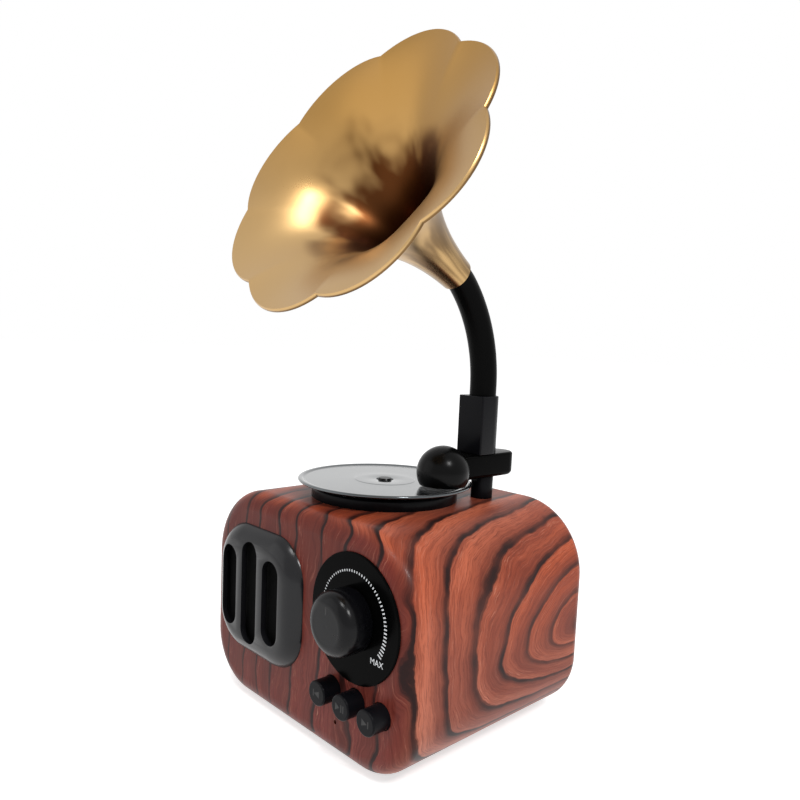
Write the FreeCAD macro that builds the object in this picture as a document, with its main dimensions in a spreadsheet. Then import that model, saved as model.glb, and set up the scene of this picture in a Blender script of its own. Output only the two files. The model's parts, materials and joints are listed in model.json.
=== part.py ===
"""Desk loudspeaker shaped like a horn gramophone.

Millimetres. +X is right, -Y is the front, +Z is up. The origin is the middle of the
base pad's underside. Every driving dimension is a cell of the sheet called Sizes.
"""
import FreeCAD
import Part
import Sketcher

import math
import os

Vector = FreeCAD.Vector
Rotation = FreeCAD.Rotation

# ---------------------------------------------------------------- driving dimensions

DRIVING = {
    # cabinet
    "body_width": 100.0,
    "body_depth": 82.0,
    "body_height": 71.2,
    "top_radius": 23.8,
    "bottom_radius": 19.6,
    "face_fillet": 6.0,
    "rear_fillet": 4.6,
    "wall": 2.5,
    "pad_thickness": 1.0,
    "pad_width": 58.0,
    "pad_depth": 72.0,
    "pad_corner": 6.0,
    # clearances
    "slide_gap": 0.2,
    "running_gap": 0.05,
    "seat_gap": 0.1,
    # screws
    "screw_radius": 0.95,
    "screw_head_radius": 1.8,
    "screw_head_height": 1.2,
    "recess_width": 0.5,
    "recess_length": 2.0,
    "recess_depth": 0.6,
    # grille, cloth and driver
    "grille_x": -19.7,
    "grille_rise": 3.3,
    "grille_width": 47.0,
    "grille_tall": 44.8,
    "grille_corner": 15.0,
    "grille_dome": 4.2,
    "grille_sink": 3.4,
    "grille_edge": 7.4,
    "grille_rim": 4.6,
    "grille_skin": 2.0,
    "slot_width": 8.7,
    "slot_pitch": 12.0,
    "slot_shift": 1.5,
    "slot_rise": 0.3,
    "middle_slot": 34.2,
    "side_slot": 27.4,
    "peg_radius": 0.7,
    "peg_length": 1.8,
    "cloth_thickness": 0.5,
    "opening_radius": 17.0,
    "flange_size": 43.0,
    "flange_corner": 6.0,
    "flange_thickness": 1.5,
    "driver_screw_pitch": 35.5,
    "basket_depth": 12.0,
    "basket_floor_radius": 12.5,
    "basket_sheet": 1.0,
    "magnet_radius": 15.5,
    "magnet_thickness": 8.0,
    "coil_radius": 6.5,
    "cone_sheet": 0.5,
    "driver_screw": 3.2,
    "window_width": 8.0,
    "surround_width": 2.2,
    "cone_setback": 0.4,
    "cone_rise": 3.0,
    "cap_setback": 4.2,
    "cap_dome": 2.2,
    "cap_sheet": 0.6,
    "coil_slot": 3.0,
    "magnet_edge": 1.0,
    # dial, knob and potentiometer
    "dial_x": 27.4,
    "dial_height": 45.1,
    "dial_radius": 18.9,
    "dial_thickness": 0.7,
    "dial_edge": 0.3,
    "knob_radius": 9.3,
    "knob_length": 9.4,
    "knob_gap": 0.4,
    "knob_edge": 1.5,
    "knob_recess": 6.4,
    "knob_recess_depth": 3.0,
    "shaft_radius": 3.0,
    "shaft_grip": 4.0,
    "bush_radius": 3.8,
    "nut_across": 10.0,
    "nut_thickness": 2.0,
    "pot_radius": 8.2,
    "pot_depth": 7.0,
    "shaft_foot": 2.0,
    "bond_gap": 0.01,
    # buttons and front board
    "button_x": 18.6,
    "button_height": 21.1,
    "button_pitch": 10.7,
    "button_radius": 3.7,
    "button_proud": 6.0,
    "button_travel": 0.8,
    "button_edge": 0.5,
    "button_flange": 4.5,
    "flange_height": 1.0,
    "stem_radius": 1.2,
    "switch_size": 6.0,
    "switch_height": 3.2,
    "stem_reach": 0.5,
    "board_thickness": 1.6,
    "board_centre_x": 28.4,
    "board_centre_height": 32.2,
    "front_board_width": 31.0,
    "front_board_tall": 49.0,
    "board_corner": 6.0,
    "board_top_corner": 3.0,
    "board_edge": 0.4,
    "pot_side_margin": 4.0,
    "boss_radius": 2.4,
    "board_screw": 5.0,
    "mic_x": 20.4,
    "mic_height": 11.2,
    "mic_hole": 0.6,
    "mic_radius": 2.4,
    # rear cover, main board and ports
    "rear_thickness": 2.5,
    "cover_edge": 0.7,
    "cover_boss_radius": 3.6,
    "cover_boss_length": 12.0,
    "cover_boss_inset": 5.6,
    "cover_boss_rise": 24.0,
    "cover_screw": 8.0,
    "main_board_width": 72.0,
    "main_board_tall": 34.0,
    "main_board_height": 31.0,
    "main_board_gap": 7.0,
    "main_screw_x": 32.0,
    "main_screw_rise": 13.0,
    "main_board_screw": 4.5,
    "port_height": 27.0,
    "port_pitch": 15.0,
    "port_recess": 0.6,
    "usb_width": 9.0,
    "usb_tall": 3.3,
    "usb_sheet": 0.35,
    "usb_floor": 1.5,
    "tongue_width": 6.0,
    "tongue_thickness": 0.7,
    "case_corner": 0.4,
    "jack_radius": 1.8,
    "jack_nose": 2.9,
    "jack_body": 6.4,
    "jack_bore": 8.0,
    "card_width": 14.0,
    "card_tall": 1.9,
    "card_slit": 0.9,
    "card_slit_width": 11.2,
    "switch_body_width": 10.0,
    "switch_body_tall": 4.6,
    "switch_body_depth": 5.0,
    "channel_depth": 2.0,
    "slider_width": 3.0,
    "slider_tall": 2.2,
    "slider_proud": 1.2,
    "slider_travel": 3.0,
    # battery
    "battery_radius": 9.2,
    "battery_length": 65.0,
    "battery_y": 6.0,
    "button_top": 1.5,
    "button_top_radius": 3.0,
    "holder_length": 60.0,
    "holder_depth": 21.0,
    "holder_height": 7.0,
    "holder_floor": 1.4,
    # turntable
    "platter_x": -0.3,
    "platter_y": -5.8,
    "base_radius": 24.5,
    "base_height": 3.4,
    "base_edge": 0.8,
    "platter_lift": 0.6,
    "platter_radius": 29.2,
    "platter_thickness": 2.0,
    "platter_edge": 0.5,
    "rim_width": 1.6,
    "rim_depth": 0.35,
    "label_radius": 10.0,
    "hub_radius": 6.0,
    "spindle_radius": 1.5,
    "spindle_floor": 0.6,
    "spindle_edge": 0.5,
    "spindle_head": 2.6,
    "spindle_head_height": 0.9,
    "top_screw": 4.2,
    "top_screw_pitch": 26.0,
    # tonearm
    "arm_x": 19.5,
    "post_y": 21.3,
    "post_radius": 3.7,
    "spigot_radius": 2.4,
    "spigot_length": 3.0,
    "arm_lift": 7.6,
    "arm_height": 8.1,
    "arm_width": 10.4,
    "arm_edge": 0.9,
    "arm_low_edge": 1.8,
    "arm_end_y": 33.9,
    "soundbox_y": 1.4,
    "soundbox_lift": 10.5,
    "soundbox_radius": 8.65,
    "soundbox_gap": 0.35,
    "arm_reach": 5.0,
    # horn
    "horn_y": 19.2,
    "socket_width": 10.6,
    "socket_front": 6.0,
    "socket_height": 19.4,
    "socket_corner": 0.6,
    "tube_radius": 4.45,
    "tube_wall": 1.25,
    "tube_rise": 22.5,
    "bend_radius": 46.4,
    "bend_angle": 45.0,
    "neck_radius": 15.4,
    "horn_elevation": 28.3,
    "horn_heading": 2.5,
    "throat_overlap": 5.0,
    "throat_radius": 5.35,
    "bell_length": 51.3,
    "bell_radius": 42.0,
    "bell_first_x": 22.8,
    "bell_first_radius": 6.85,
    "bell_second_x": 42.3,
    "bell_second_radius": 14.5,
    "bell_wall": 1.2,
    "throat_wall": 0.8,
    "petal_count": 8,
    "petal_bulge": 0.084,
    "petal_turn": 14.0,
}

doc = FreeCAD.newDocument("HornSpeaker")


class Length:
    """A number together with the sheet expression that gives it."""

    def __init__(self, value, text):
        self.value = value
        self.text = text

    def join(self, sign, other, value):
        return Length(value, "(" + self.text + " " + sign + " " + other.text + ")")

    def __add__(self, other):
        other = length(other)
        return self.join("+", other, self.value + other.value)

    def __sub__(self, other):
        other = length(other)
        return self.join("-", other, self.value - other.value)

    def __mul__(self, other):
        other = length(other)
        return self.join("*", other, self.value * other.value)

    def __truediv__(self, other):
        other = length(other)
        return self.join("/", other, self.value / other.value)

    def __neg__(self):
        return Length(-self.value, "(-" + self.text + ")")


def length(number):
    """Wrap a plain number, and pass a Length through."""
    if isinstance(number, Length):
        return number
    return Length(float(number), "(" + repr(float(number)) + ")")


def almost_half(width):
    """Corner radius of a nearly half-round end, which leaves a short straight between the arcs."""
    return length(width) * 0.49


class Sizes:
    """The driving dimensions, each a cell of the sheet and a Length of the same name."""

    def __init__(self, driving):
        sheet = doc.addObject("Spreadsheet::Sheet", "Sizes")
        for row, (name, value) in enumerate(driving.items(), start=1):
            sheet.set("A" + str(row), name)
            sheet.set("B" + str(row), str(value))
            sheet.setAlias("B" + str(row), name)
        doc.recompute()
        for name in driving:
            setattr(self, name, Length(float(sheet.get(name)), "Sizes." + name))


size = Sizes(DRIVING)

FACING = {
    "up": Rotation(),
    "down": Rotation(Vector(1, 0, 0), 180),
    "front": Rotation(Vector(1, 0, 0), 90),
    "rear": Rotation(Vector(0, 0, 1), 180).multiply(Rotation(Vector(1, 0, 0), 90)),
    "right": Rotation(Vector(0, 1, 0), 90),
}


# ---------------------------------------------------------------- document helpers

def bind(thing, path, amount):
    """Drive one property of an object from the sheet."""
    thing.setExpression(path, length(amount).text)


def place(thing, at, facing="up"):
    """Put an object's own origin at a point, with its +Z facing a named way."""
    at = [length(amount) for amount in at]
    point = Vector(at[0].value, at[1].value, at[2].value)
    thing.Placement = FreeCAD.Placement(point, FACING[facing])
    for axis, amount in zip("xyz", at):
        bind(thing, "Placement.Base." + axis, amount)
    return thing


def add(kind, name):
    thing = doc.addObject(kind, name)
    thing.Label = name
    return thing


def block(name, low, extent):
    """A box from its lowest corner and its extent along X, Y and Z."""
    box = place(add("Part::Box", name), low)
    for path, amount in zip(("Length", "Width", "Height"), extent):
        bind(box, path, amount)
    return box


def rod(name, radius, height, at, facing="up"):
    """A cylinder from the middle of its first end face."""
    cylinder = place(add("Part::Cylinder", name), at, facing)
    bind(cylinder, "Radius", radius)
    bind(cylinder, "Height", height)
    return cylinder


def ball(name, radius, at):
    sphere = place(add("Part::Sphere", name), at)
    bind(sphere, "Radius", radius)
    return sphere


def join(name, pieces):
    fusion = add("Part::MultiFuse", name)
    fusion.Shapes = pieces
    return fusion


def cut(name, base, tool):
    difference = add("Part::Cut", name)
    difference.Base = base
    difference.Tool = tool
    return difference


def new_body(name, at, facing="up"):
    return place(add("PartDesign::Body", name), at, facing)


def sketch_on(body, name, role="XY_Plane", shift=(0, 0, 0)):
    """A sketch on one of the body's origin planes, shifted in the plane's own axes."""
    sketch = body.newObject("Sketcher::SketchObject", body.Name + "_" + name)
    plane = next(item for item in body.Origin.OriginFeatures if item.Role == role)
    sketch.AttachmentSupport = (plane, [""])
    sketch.MapMode = "FlatFace"
    for axis, amount in zip("xyz", shift):
        bind(sketch, "AttachmentOffset.Base." + axis, amount)
    return sketch


def dimension(sketch, kind, where, amount):
    """Add a driven dimension to a sketch."""
    index = sketch.addConstraint(Sketcher.Constraint(kind, *where, amount.value))
    sketch.setExpression("Constraints[" + str(index) + "]", amount.text)


def pin_vertex(sketch, line, point):
    """Fix a line's start point by its distances from the sketch origin."""
    for kind, axis, amount in zip(("DistanceX", "DistanceY"), (-2, -1), point):
        if abs(amount.value) < 1e-9:
            sketch.addConstraint(Sketcher.Constraint("PointOnObject", line, 1, axis))
        elif amount.value > 0:
            dimension(sketch, kind, (-1, 1, line, 1), amount)
        else:
            dimension(sketch, kind, (line, 1, -1, 1), -amount)


def draw_polygon(sketch, points):
    """A closed outline of straight lines."""
    points = [(length(x), length(y)) for x, y in points]
    corners = [Vector(x.value, y.value, 0) for x, y in points]
    for start, end in zip(corners, corners[1:] + corners[:1]):
        sketch.addGeometry(Part.LineSegment(start, end))
    count = len(points)
    for line in range(count):
        sketch.addConstraint(Sketcher.Constraint("Coincident", line, 2, (line + 1) % count, 1))
    for line, point in enumerate(points):
        pin_vertex(sketch, line, point)


def draw_circle(sketch, radius, at=(0, 0)):
    """A circle with its centre fixed from the sketch origin."""
    radius = length(radius)
    centre = [length(amount) for amount in at]
    point = Vector(centre[0].value, centre[1].value, 0)
    circle = sketch.addGeometry(Part.Circle(point, Vector(0, 0, 1), radius.value))
    dimension(sketch, "Radius", (circle,), radius)
    for kind, axis, amount in zip(("DistanceX", "DistanceY"), (-2, -1), centre):
        if abs(amount.value) < 1e-9:
            sketch.addConstraint(Sketcher.Constraint("PointOnObject", circle, 3, axis))
        elif amount.value > 0:
            dimension(sketch, kind, (-1, 1, circle, 3), amount)
        else:
            dimension(sketch, kind, (circle, 3, -1, 1), -amount)


def draw_rounded_rectangle(sketch, width, height, top_radius, bottom_radius=None, middle=(0, 0)):
    """A rectangle with rounded corners, centred on a point, as four lines and four arcs."""
    width, height = length(width), length(height)
    top = length(top_radius)
    bottom = top if bottom_radius is None else length(bottom_radius)
    right = length(middle[0]) + width / 2
    left = length(middle[0]) - width / 2
    upper = length(middle[1]) + height / 2
    lower = length(middle[1]) - height / 2
    corners = (
        (left.value, lower.value, 1, 1, bottom, math.pi),
        (right.value, lower.value, -1, 1, bottom, 1.5 * math.pi),
        (right.value, upper.value, -1, -1, top, 0.0),
        (left.value, upper.value, 1, -1, top, 0.5 * math.pi),
    )
    arcs = []
    for x, y, inward_x, inward_y, radius, start in corners:
        centre = Vector(x + inward_x * radius.value, y + inward_y * radius.value, 0)
        circle = Part.Circle(centre, Vector(0, 0, 1), radius.value)
        arc = Part.ArcOfCircle(circle, start, start + 0.5 * math.pi)
        arcs.append((sketch.addGeometry(arc), arc))
    lines = []
    for (_, arc), (_, following) in zip(arcs, arcs[1:] + arcs[:1]):
        segment = Part.LineSegment(arc.EndPoint, following.StartPoint)
        lines.append(sketch.addGeometry(segment))
    for side in range(4):
        following = arcs[(side + 1) % 4][0]
        sketch.addConstraint(Sketcher.Constraint("Tangent", arcs[side][0], 2, lines[side], 1))
        sketch.addConstraint(Sketcher.Constraint("Tangent", lines[side], 2, following, 1))
        way = "Vertical" if side % 2 else "Horizontal"
        sketch.addConstraint(Sketcher.Constraint(way, lines[side]))
    for (arc, _), (_, _, _, _, radius, _) in zip(arcs, corners):
        dimension(sketch, "Radius", (arc,), radius)
    for kind, line, amount in (("DistanceY", lines[0], lower), ("DistanceX", lines[1], right),
                               ("DistanceY", lines[2], upper), ("DistanceX", lines[3], left)):
        if amount.value > 0:
            dimension(sketch, kind, (-1, 1, line, 1), amount)
        else:
            dimension(sketch, kind, (line, 1, -1, 1), -amount)


def feature(body, kind, sketch, name):
    thing = body.newObject("PartDesign::" + kind, body.Name + "_" + name)
    thing.Profile = sketch
    return thing


def pad(body, sketch, amount, backwards=False):
    thing = feature(body, "Pad", sketch, "pad_" + sketch.Name)
    bind(thing, "Length", amount)
    thing.Reversed = backwards
    return thing


def pocket(body, sketch, amount, backwards=False):
    thing = feature(body, "Pocket", sketch, "pocket_" + sketch.Name)
    bind(thing, "Length", amount)
    thing.Reversed = backwards
    return thing


def revolve(body, sketch):
    """Turn a profile all the way round the sketch's vertical axis."""
    thing = feature(body, "Revolution", sketch, "turn_" + sketch.Name)
    thing.ReferenceAxis = (sketch, ["V_Axis"])
    thing.Angle = 360.0
    return thing


def turned(name, at, facing, points):
    """A body turned from one profile, given as (radius, height) points."""
    body = new_body(name, at, facing)
    sketch = sketch_on(body, "profile", "XZ_Plane")
    draw_polygon(sketch, points)
    revolve(body, sketch)
    return body


def edges_at(body, axis, level, test=None):
    """Names of the tip's edges that lie in one plane across a body axis."""
    doc.recompute()
    names = []
    for number, edge in enumerate(body.Tip.Shape.Edges, start=1):
        box = edge.BoundBox
        low, high = {"x": (box.XMin, box.XMax), "y": (box.YMin, box.YMax), "z": (box.ZMin, box.ZMax)}[axis]
        if abs(low - level.value) < 1e-4 and abs(high - level.value) < 1e-4:
            if test is None or test(edge):
                names.append("Edge" + str(number))
    return names


def round_rim(body, level, radius, name="round", axis="z", test=None):
    """Round the edges in one plane of a body."""
    tip = body.Tip
    names = edges_at(body, axis, length(level), test)
    thing = body.newObject("PartDesign::Fillet", body.Name + "_" + name)
    thing.Base = (tip, names)
    bind(thing, "Radius", radius)
    return thing


def screws(name, shank, places, facing):
    """A group of equal pan-head screws; each place is the middle under one head."""
    solids = []
    recesses = []
    for number, at in enumerate(places, start=1):
        label = name + "_" + str(number)
        head_way = Rotation(FACING[facing]).multVec(Vector(0, 0, 1))
        lift = [length(a) - size.screw_head_height * w for a, w in zip(at, head_way)]
        solids.append(rod(label + "_shank", size.screw_radius, shank, at, facing))
        solids.append(rod(label + "_head", size.screw_head_radius, size.screw_head_height, lift, facing))
        recesses += cross_recess(label, lift, facing)
    return cut(name, join(name + "_solid", solids), join(name + "_cross", recesses))


def cross_recess(label, at, facing):
    """Two crossed slots in a screw head, from the middle of its outer face."""
    bars = []
    half_long, half_wide = size.recess_length / 2, size.recess_width / 2
    for number, (along, across) in enumerate(((half_long, half_wide), (half_wide, half_long))):
        if facing in ("front", "rear"):
            inward = length(0) if facing == "rear" else -size.recess_depth
            low = (length(at[0]) - along, length(at[1]) + inward, length(at[2]) - across)
            extent = (along * 2, size.recess_depth, across * 2)
        else:
            inward = length(0) if facing == "up" else -size.recess_depth
            low = (length(at[0]) - along, length(at[1]) - across, length(at[2]) + inward)
            extent = (along * 2, across * 2, size.recess_depth)
        bars.append(block(label + "_recess" + str(number), low, extent))
    return bars


# ---------------------------------------------------------------- shared places

FLOOR = size.pad_thickness
ROOF = FLOOR + size.body_height
FRONT = -size.body_depth / 2
BACK = size.body_depth / 2
INNER_FRONT = FRONT + size.wall
COVER_INNER = BACK - size.rear_thickness

GRILLE_HEIGHT = size.body_height / 2 + size.grille_rise
GRILLE_AT = (size.grille_x, FRONT, FLOOR + GRILLE_HEIGHT)
DRIVER_AT = (size.grille_x, INNER_FRONT, FLOOR + GRILLE_HEIGHT)
DIAL_AT = (size.dial_x, FRONT, FLOOR + size.dial_height)
DIAL_FACE = FRONT - size.dial_thickness
KNOB_BACK = DIAL_FACE - size.knob_gap

BOARD_FRONT = INNER_FRONT + size.pot_depth
BOSS_LENGTH = size.pot_depth
BOARD_INSET = size.boss_radius + size.board_edge
BOARD_LEFT = size.board_centre_x - size.front_board_width / 2 + BOARD_INSET
BOARD_RIGHT = size.board_centre_x + size.front_board_width / 2 - BOARD_INSET - size.pot_side_margin
BOARD_UPPER = size.board_centre_height + size.front_board_tall / 2 - BOARD_INSET
BOARD_LOWER = size.board_centre_height - size.front_board_tall / 2 + BOARD_INSET
BOARD_SCREWS = ((BOARD_LEFT, BOARD_UPPER), (BOARD_RIGHT, BOARD_UPPER), (BOARD_RIGHT, BOARD_LOWER))
BUTTON_NAMES = ("button_previous", "button_play", "button_next")
BUTTON_X = [size.button_x + size.button_pitch * step for step in range(3)]

DRIVER_CORNERS = [(size.driver_screw_pitch / 2 * a, size.driver_screw_pitch / 2 * b)
                  for a in (-1, 1) for b in (-1, 1)]
PEG_RING = size.grille_rim / 2
PEGS = ((size.grille_width / 2 - PEG_RING, length(0)), (-(size.grille_width / 2 - PEG_RING), length(0)),
        (length(0), size.grille_tall / 2 - PEG_RING), (length(0), -(size.grille_tall / 2 - PEG_RING)))

COVER_SCREW_X = size.body_width / 2 - size.cover_boss_inset
COVER_SCREW_Z = (size.body_height / 2 - size.cover_boss_rise / 2,
                 size.body_height / 2 + size.cover_boss_rise / 2)
COVER_SCREWS = [(COVER_SCREW_X * side, rise) for side in (-1, 1) for rise in COVER_SCREW_Z]

MAIN_BOARD_REAR = COVER_INNER - size.main_board_gap
MAIN_SCREWS = [(size.main_screw_x * side, size.main_board_height + size.main_screw_rise * up)
               for side in (-1, 1) for up in (-1, 1)]
PORT_X = [size.port_pitch * step for step in (-1.5, -0.5, 0.5, 1.5)]
SLIDER_LANE = size.slider_width + size.slider_travel + size.slide_gap * 2

BASE_SCREW_X = [size.platter_x + size.top_screw_pitch / 2 * side for side in (-1, 1)]
BASE_TOP = ROOF + size.base_height
PLATTER_LOW = BASE_TOP + size.platter_lift
PLATTER_TOP = PLATTER_LOW + size.platter_thickness
ARM_LOW = ROOF + size.arm_lift
ARM_TOP = ARM_LOW + size.arm_height
ARM_FRONT = size.soundbox_y + size.arm_reach
HORN_AT = (size.arm_x, size.horn_y, ARM_TOP)


# ---------------------------------------------------------------- cabinet

def cabinet_outline(body, name, level, inset):
    """The cabinet's front outline, drawn at a depth and set in by a margin."""
    sketch = sketch_on(body, name, "XZ_Plane", (0, size.body_height / 2, level))
    draw_rounded_rectangle(sketch, size.body_width - length(inset) * 2, size.body_height - length(inset) * 2,
                           size.top_radius - inset, size.bottom_radius - inset)
    return sketch


def make_cabinet_shell():
    body = new_body("cabinet_shell", (0, 0, FLOOR))
    pad(body, cabinet_outline(body, "outline", -BACK, 0), size.body_depth)
    round_rim(body, FRONT, size.face_fillet, "front_round", "y")
    round_rim(body, BACK, size.rear_fillet, "rear_round", "y")
    pocket(body, cabinet_outline(body, "cavity", -BACK, size.wall),
           size.body_depth - size.wall, backwards=True)

    bosses = sketch_on(body, "board_bosses", "XZ_Plane", (0, 0, -INNER_FRONT))
    for x, z in BOARD_SCREWS:
        draw_circle(bosses, size.boss_radius, (x, z))
    pad(body, bosses, BOSS_LENGTH, backwards=True)

    posts = sketch_on(body, "cover_posts", "XZ_Plane", (0, 0, -(COVER_INNER - size.seat_gap)))
    for x, z in COVER_SCREWS:
        draw_circle(posts, size.cover_boss_radius, (x, z))
    pad(body, posts, size.cover_boss_length)

    holes = sketch_on(body, "front_holes", "XZ_Plane", (0, 0, -FRONT))
    draw_circle(holes, size.opening_radius, (size.grille_x, GRILLE_HEIGHT))
    draw_circle(holes, size.bush_radius + size.running_gap, (size.dial_x, size.dial_height))
    for x in BUTTON_X:
        draw_circle(holes, size.button_radius + size.slide_gap, (x, size.button_height))
    draw_circle(holes, size.mic_hole, (size.mic_x, size.mic_height))
    pocket(body, holes, size.wall)

    pegs = sketch_on(body, "peg_holes", "XZ_Plane", (0, 0, -FRONT))
    for x, z in PEGS:
        draw_circle(pegs, size.peg_radius + size.running_gap,
                    (size.grille_x + x, GRILLE_HEIGHT + z))
    pocket(body, pegs, size.peg_length + size.seat_gap)

    pilots = sketch_on(body, "driver_pilots", "XZ_Plane", (0, 0, -INNER_FRONT))
    for x, z in DRIVER_CORNERS:
        draw_circle(pilots, size.screw_radius + size.running_gap,
                    (size.grille_x + x, GRILLE_HEIGHT + z))
    pocket(body, pilots, size.driver_screw - size.flange_thickness + size.seat_gap, backwards=True)

    board_pilots = sketch_on(body, "board_pilots", "XZ_Plane", (0, 0, -BOARD_FRONT))
    for x, z in BOARD_SCREWS:
        draw_circle(board_pilots, size.screw_radius + size.running_gap, (x, z))
    pocket(body, board_pilots, size.board_screw - size.board_thickness + size.seat_gap, backwards=True)

    cover_pilots = sketch_on(body, "cover_pilots", "XZ_Plane", (0, 0, -(COVER_INNER - size.seat_gap)))
    for x, z in COVER_SCREWS:
        draw_circle(cover_pilots, size.screw_radius + size.running_gap, (x, z))
    pocket(body, cover_pilots, size.cover_screw, backwards=True)

    roof_holes = sketch_on(body, "roof_holes", "XY_Plane", (0, 0, size.body_height))
    for x in BASE_SCREW_X:
        draw_circle(roof_holes, size.screw_radius + size.running_gap, (x, size.platter_y))
    draw_circle(roof_holes, size.screw_radius + size.running_gap, (size.arm_x, size.post_y))
    pocket(body, roof_holes, size.wall)
    return body


def make_base_pad():
    body = new_body("base_pad", (0, 0, 0))
    outline = sketch_on(body, "outline")
    draw_rounded_rectangle(outline, size.pad_width, size.pad_depth, size.pad_corner)
    pad(body, outline, size.pad_thickness)
    return body


def make_rear_cover():
    body = new_body("rear_cover", (0, 0, FLOOR))
    margin = size.wall + size.seat_gap
    pad(body, cabinet_outline(body, "plate", -COVER_INNER, margin), size.rear_thickness, backwards=True)
    round_rim(body, BACK, size.cover_edge, "edge", "y")

    bosses = sketch_on(body, "board_bosses", "XZ_Plane", (0, 0, -COVER_INNER))
    for x, z in MAIN_SCREWS:
        draw_circle(bosses, size.boss_radius, (x, z))
    pad(body, bosses, size.main_board_gap)

    pilots = sketch_on(body, "board_pilots", "XZ_Plane", (0, 0, -MAIN_BOARD_REAR))
    for x, z in MAIN_SCREWS:
        draw_circle(pilots, size.screw_radius + size.running_gap, (x, z))
    pocket(body, pilots, size.main_board_screw)

    holes = sketch_on(body, "screw_holes", "XZ_Plane", (0, 0, -COVER_INNER))
    for x, z in COVER_SCREWS:
        draw_circle(holes, size.screw_radius + size.running_gap, (x, z))
    pocket(body, holes, size.rear_thickness)

    sinks = sketch_on(body, "screw_sinks", "XZ_Plane", (0, 0, -BACK))
    for x, z in COVER_SCREWS:
        draw_circle(sinks, size.screw_head_radius + size.slide_gap, (x, z))
    pocket(body, sinks, size.screw_head_height, backwards=True)

    ports = sketch_on(body, "port_cuts", "XZ_Plane", (0, 0, -COVER_INNER))
    gap = size.slide_gap * 2
    draw_rounded_rectangle(ports, SLIDER_LANE, size.slider_tall + gap, size.slide_gap,
                           middle=(PORT_X[0] + size.slider_travel / 2, size.port_height))
    draw_circle(ports, size.jack_nose + size.slide_gap, (PORT_X[1], size.port_height))
    draw_rounded_rectangle(ports, size.usb_width + gap, size.usb_tall + gap, size.usb_tall / 2,
                           middle=(PORT_X[2], size.port_height))
    draw_rounded_rectangle(ports, size.card_width + gap, size.card_tall + gap, size.slide_gap,
                           middle=(PORT_X[3], size.port_height))
    pocket(body, ports, size.rear_thickness)
    return body


# ---------------------------------------------------------------- grille and driver

def make_speaker_grille():
    """A domed cover: a deep rounded pad, trimmed level with the wall and hollowed behind."""
    body = new_body("speaker_grille", GRILLE_AT, "front")
    outline = sketch_on(body, "outline", shift=(0, 0, length(0) - size.grille_sink))
    draw_rounded_rectangle(outline, size.grille_width, size.grille_tall, size.grille_corner)
    pad(body, outline, size.grille_sink + size.grille_dome)
    round_rim(body, size.grille_dome, size.grille_edge)
    trim = sketch_on(body, "trim")
    draw_rounded_rectangle(trim, size.grille_width * 1.1, size.grille_tall * 1.1, size.grille_corner)
    pocket(body, trim, size.grille_sink * 1.1)
    inside = sketch_on(body, "inside")
    margin = size.grille_rim * 2
    draw_rounded_rectangle(inside, size.grille_width - margin, size.grille_tall - margin,
                           size.grille_corner - size.grille_rim)
    pocket(body, inside, size.grille_dome - size.grille_skin, backwards=True)
    slots = sketch_on(body, "slots")
    for step, tall in ((-1, size.side_slot), (0, size.middle_slot), (1, size.side_slot)):
        draw_rounded_rectangle(slots, size.slot_width, tall, almost_half(size.slot_width),
                               middle=(size.slot_pitch * step - size.slot_shift, size.slot_rise))
    pocket(body, slots, size.grille_dome, backwards=True)
    pegs = sketch_on(body, "pegs")
    for x, z in PEGS:
        draw_circle(pegs, size.peg_radius, (x, z))
    pad(body, pegs, size.peg_length, backwards=True)
    return body


def make_grille_cloth():
    body = new_body("grille_cloth", GRILLE_AT, "front")
    outline = sketch_on(body, "outline")
    margin = (size.grille_rim + size.seat_gap) * 2
    draw_rounded_rectangle(outline, size.grille_width - margin, size.grille_tall - margin,
                           size.grille_corner - size.grille_rim - size.seat_gap)
    pad(body, outline, size.cloth_thickness)
    return body


def make_driver_basket():
    body = new_body("driver_basket", DRIVER_AT, "rear")
    flange = sketch_on(body, "flange")
    draw_rounded_rectangle(flange, size.flange_size, size.flange_size, size.flange_corner)
    draw_circle(flange, size.opening_radius)
    for x, z in DRIVER_CORNERS:
        draw_circle(flange, size.screw_radius + size.running_gap, (x, z))
    pad(body, flange, size.flange_thickness)
    frame = sketch_on(body, "frame", "XZ_Plane")
    rim = size.opening_radius
    draw_polygon(frame, (
        (rim, 0),
        (rim + size.basket_sheet, 0),
        (rim + size.basket_sheet, size.flange_thickness + size.basket_sheet),
        (size.basket_floor_radius + size.basket_sheet, size.basket_depth),
        (size.coil_radius + size.slide_gap * 2, size.basket_depth),
        (size.coil_radius + size.slide_gap * 2, size.basket_depth - size.basket_sheet),
        (size.basket_floor_radius, size.basket_depth - size.basket_sheet),
        (rim, size.flange_thickness),
    ))
    revolve(body, frame)
    window = sketch_on(body, "window", "YZ_Plane")
    half = size.window_width / 2
    draw_polygon(window, (
        (-half, size.flange_thickness + size.basket_sheet * 2),
        (half, size.flange_thickness + size.basket_sheet * 2),
        (half, size.basket_depth - size.basket_sheet * 2),
        (-half, size.basket_depth - size.basket_sheet * 2),
    ))
    opening = pocket(body, window, size.opening_radius * 2, backwards=True)
    pattern = body.newObject("PartDesign::PolarPattern", "basket_windows")
    pattern.Originals = [opening]
    axis = next(item for item in body.Origin.OriginFeatures if item.Role == "Z_Axis")
    pattern.Axis = (axis, [""])
    pattern.Angle = 360.0
    pattern.Occurrences = 4
    body.Tip = pattern
    return body


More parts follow.
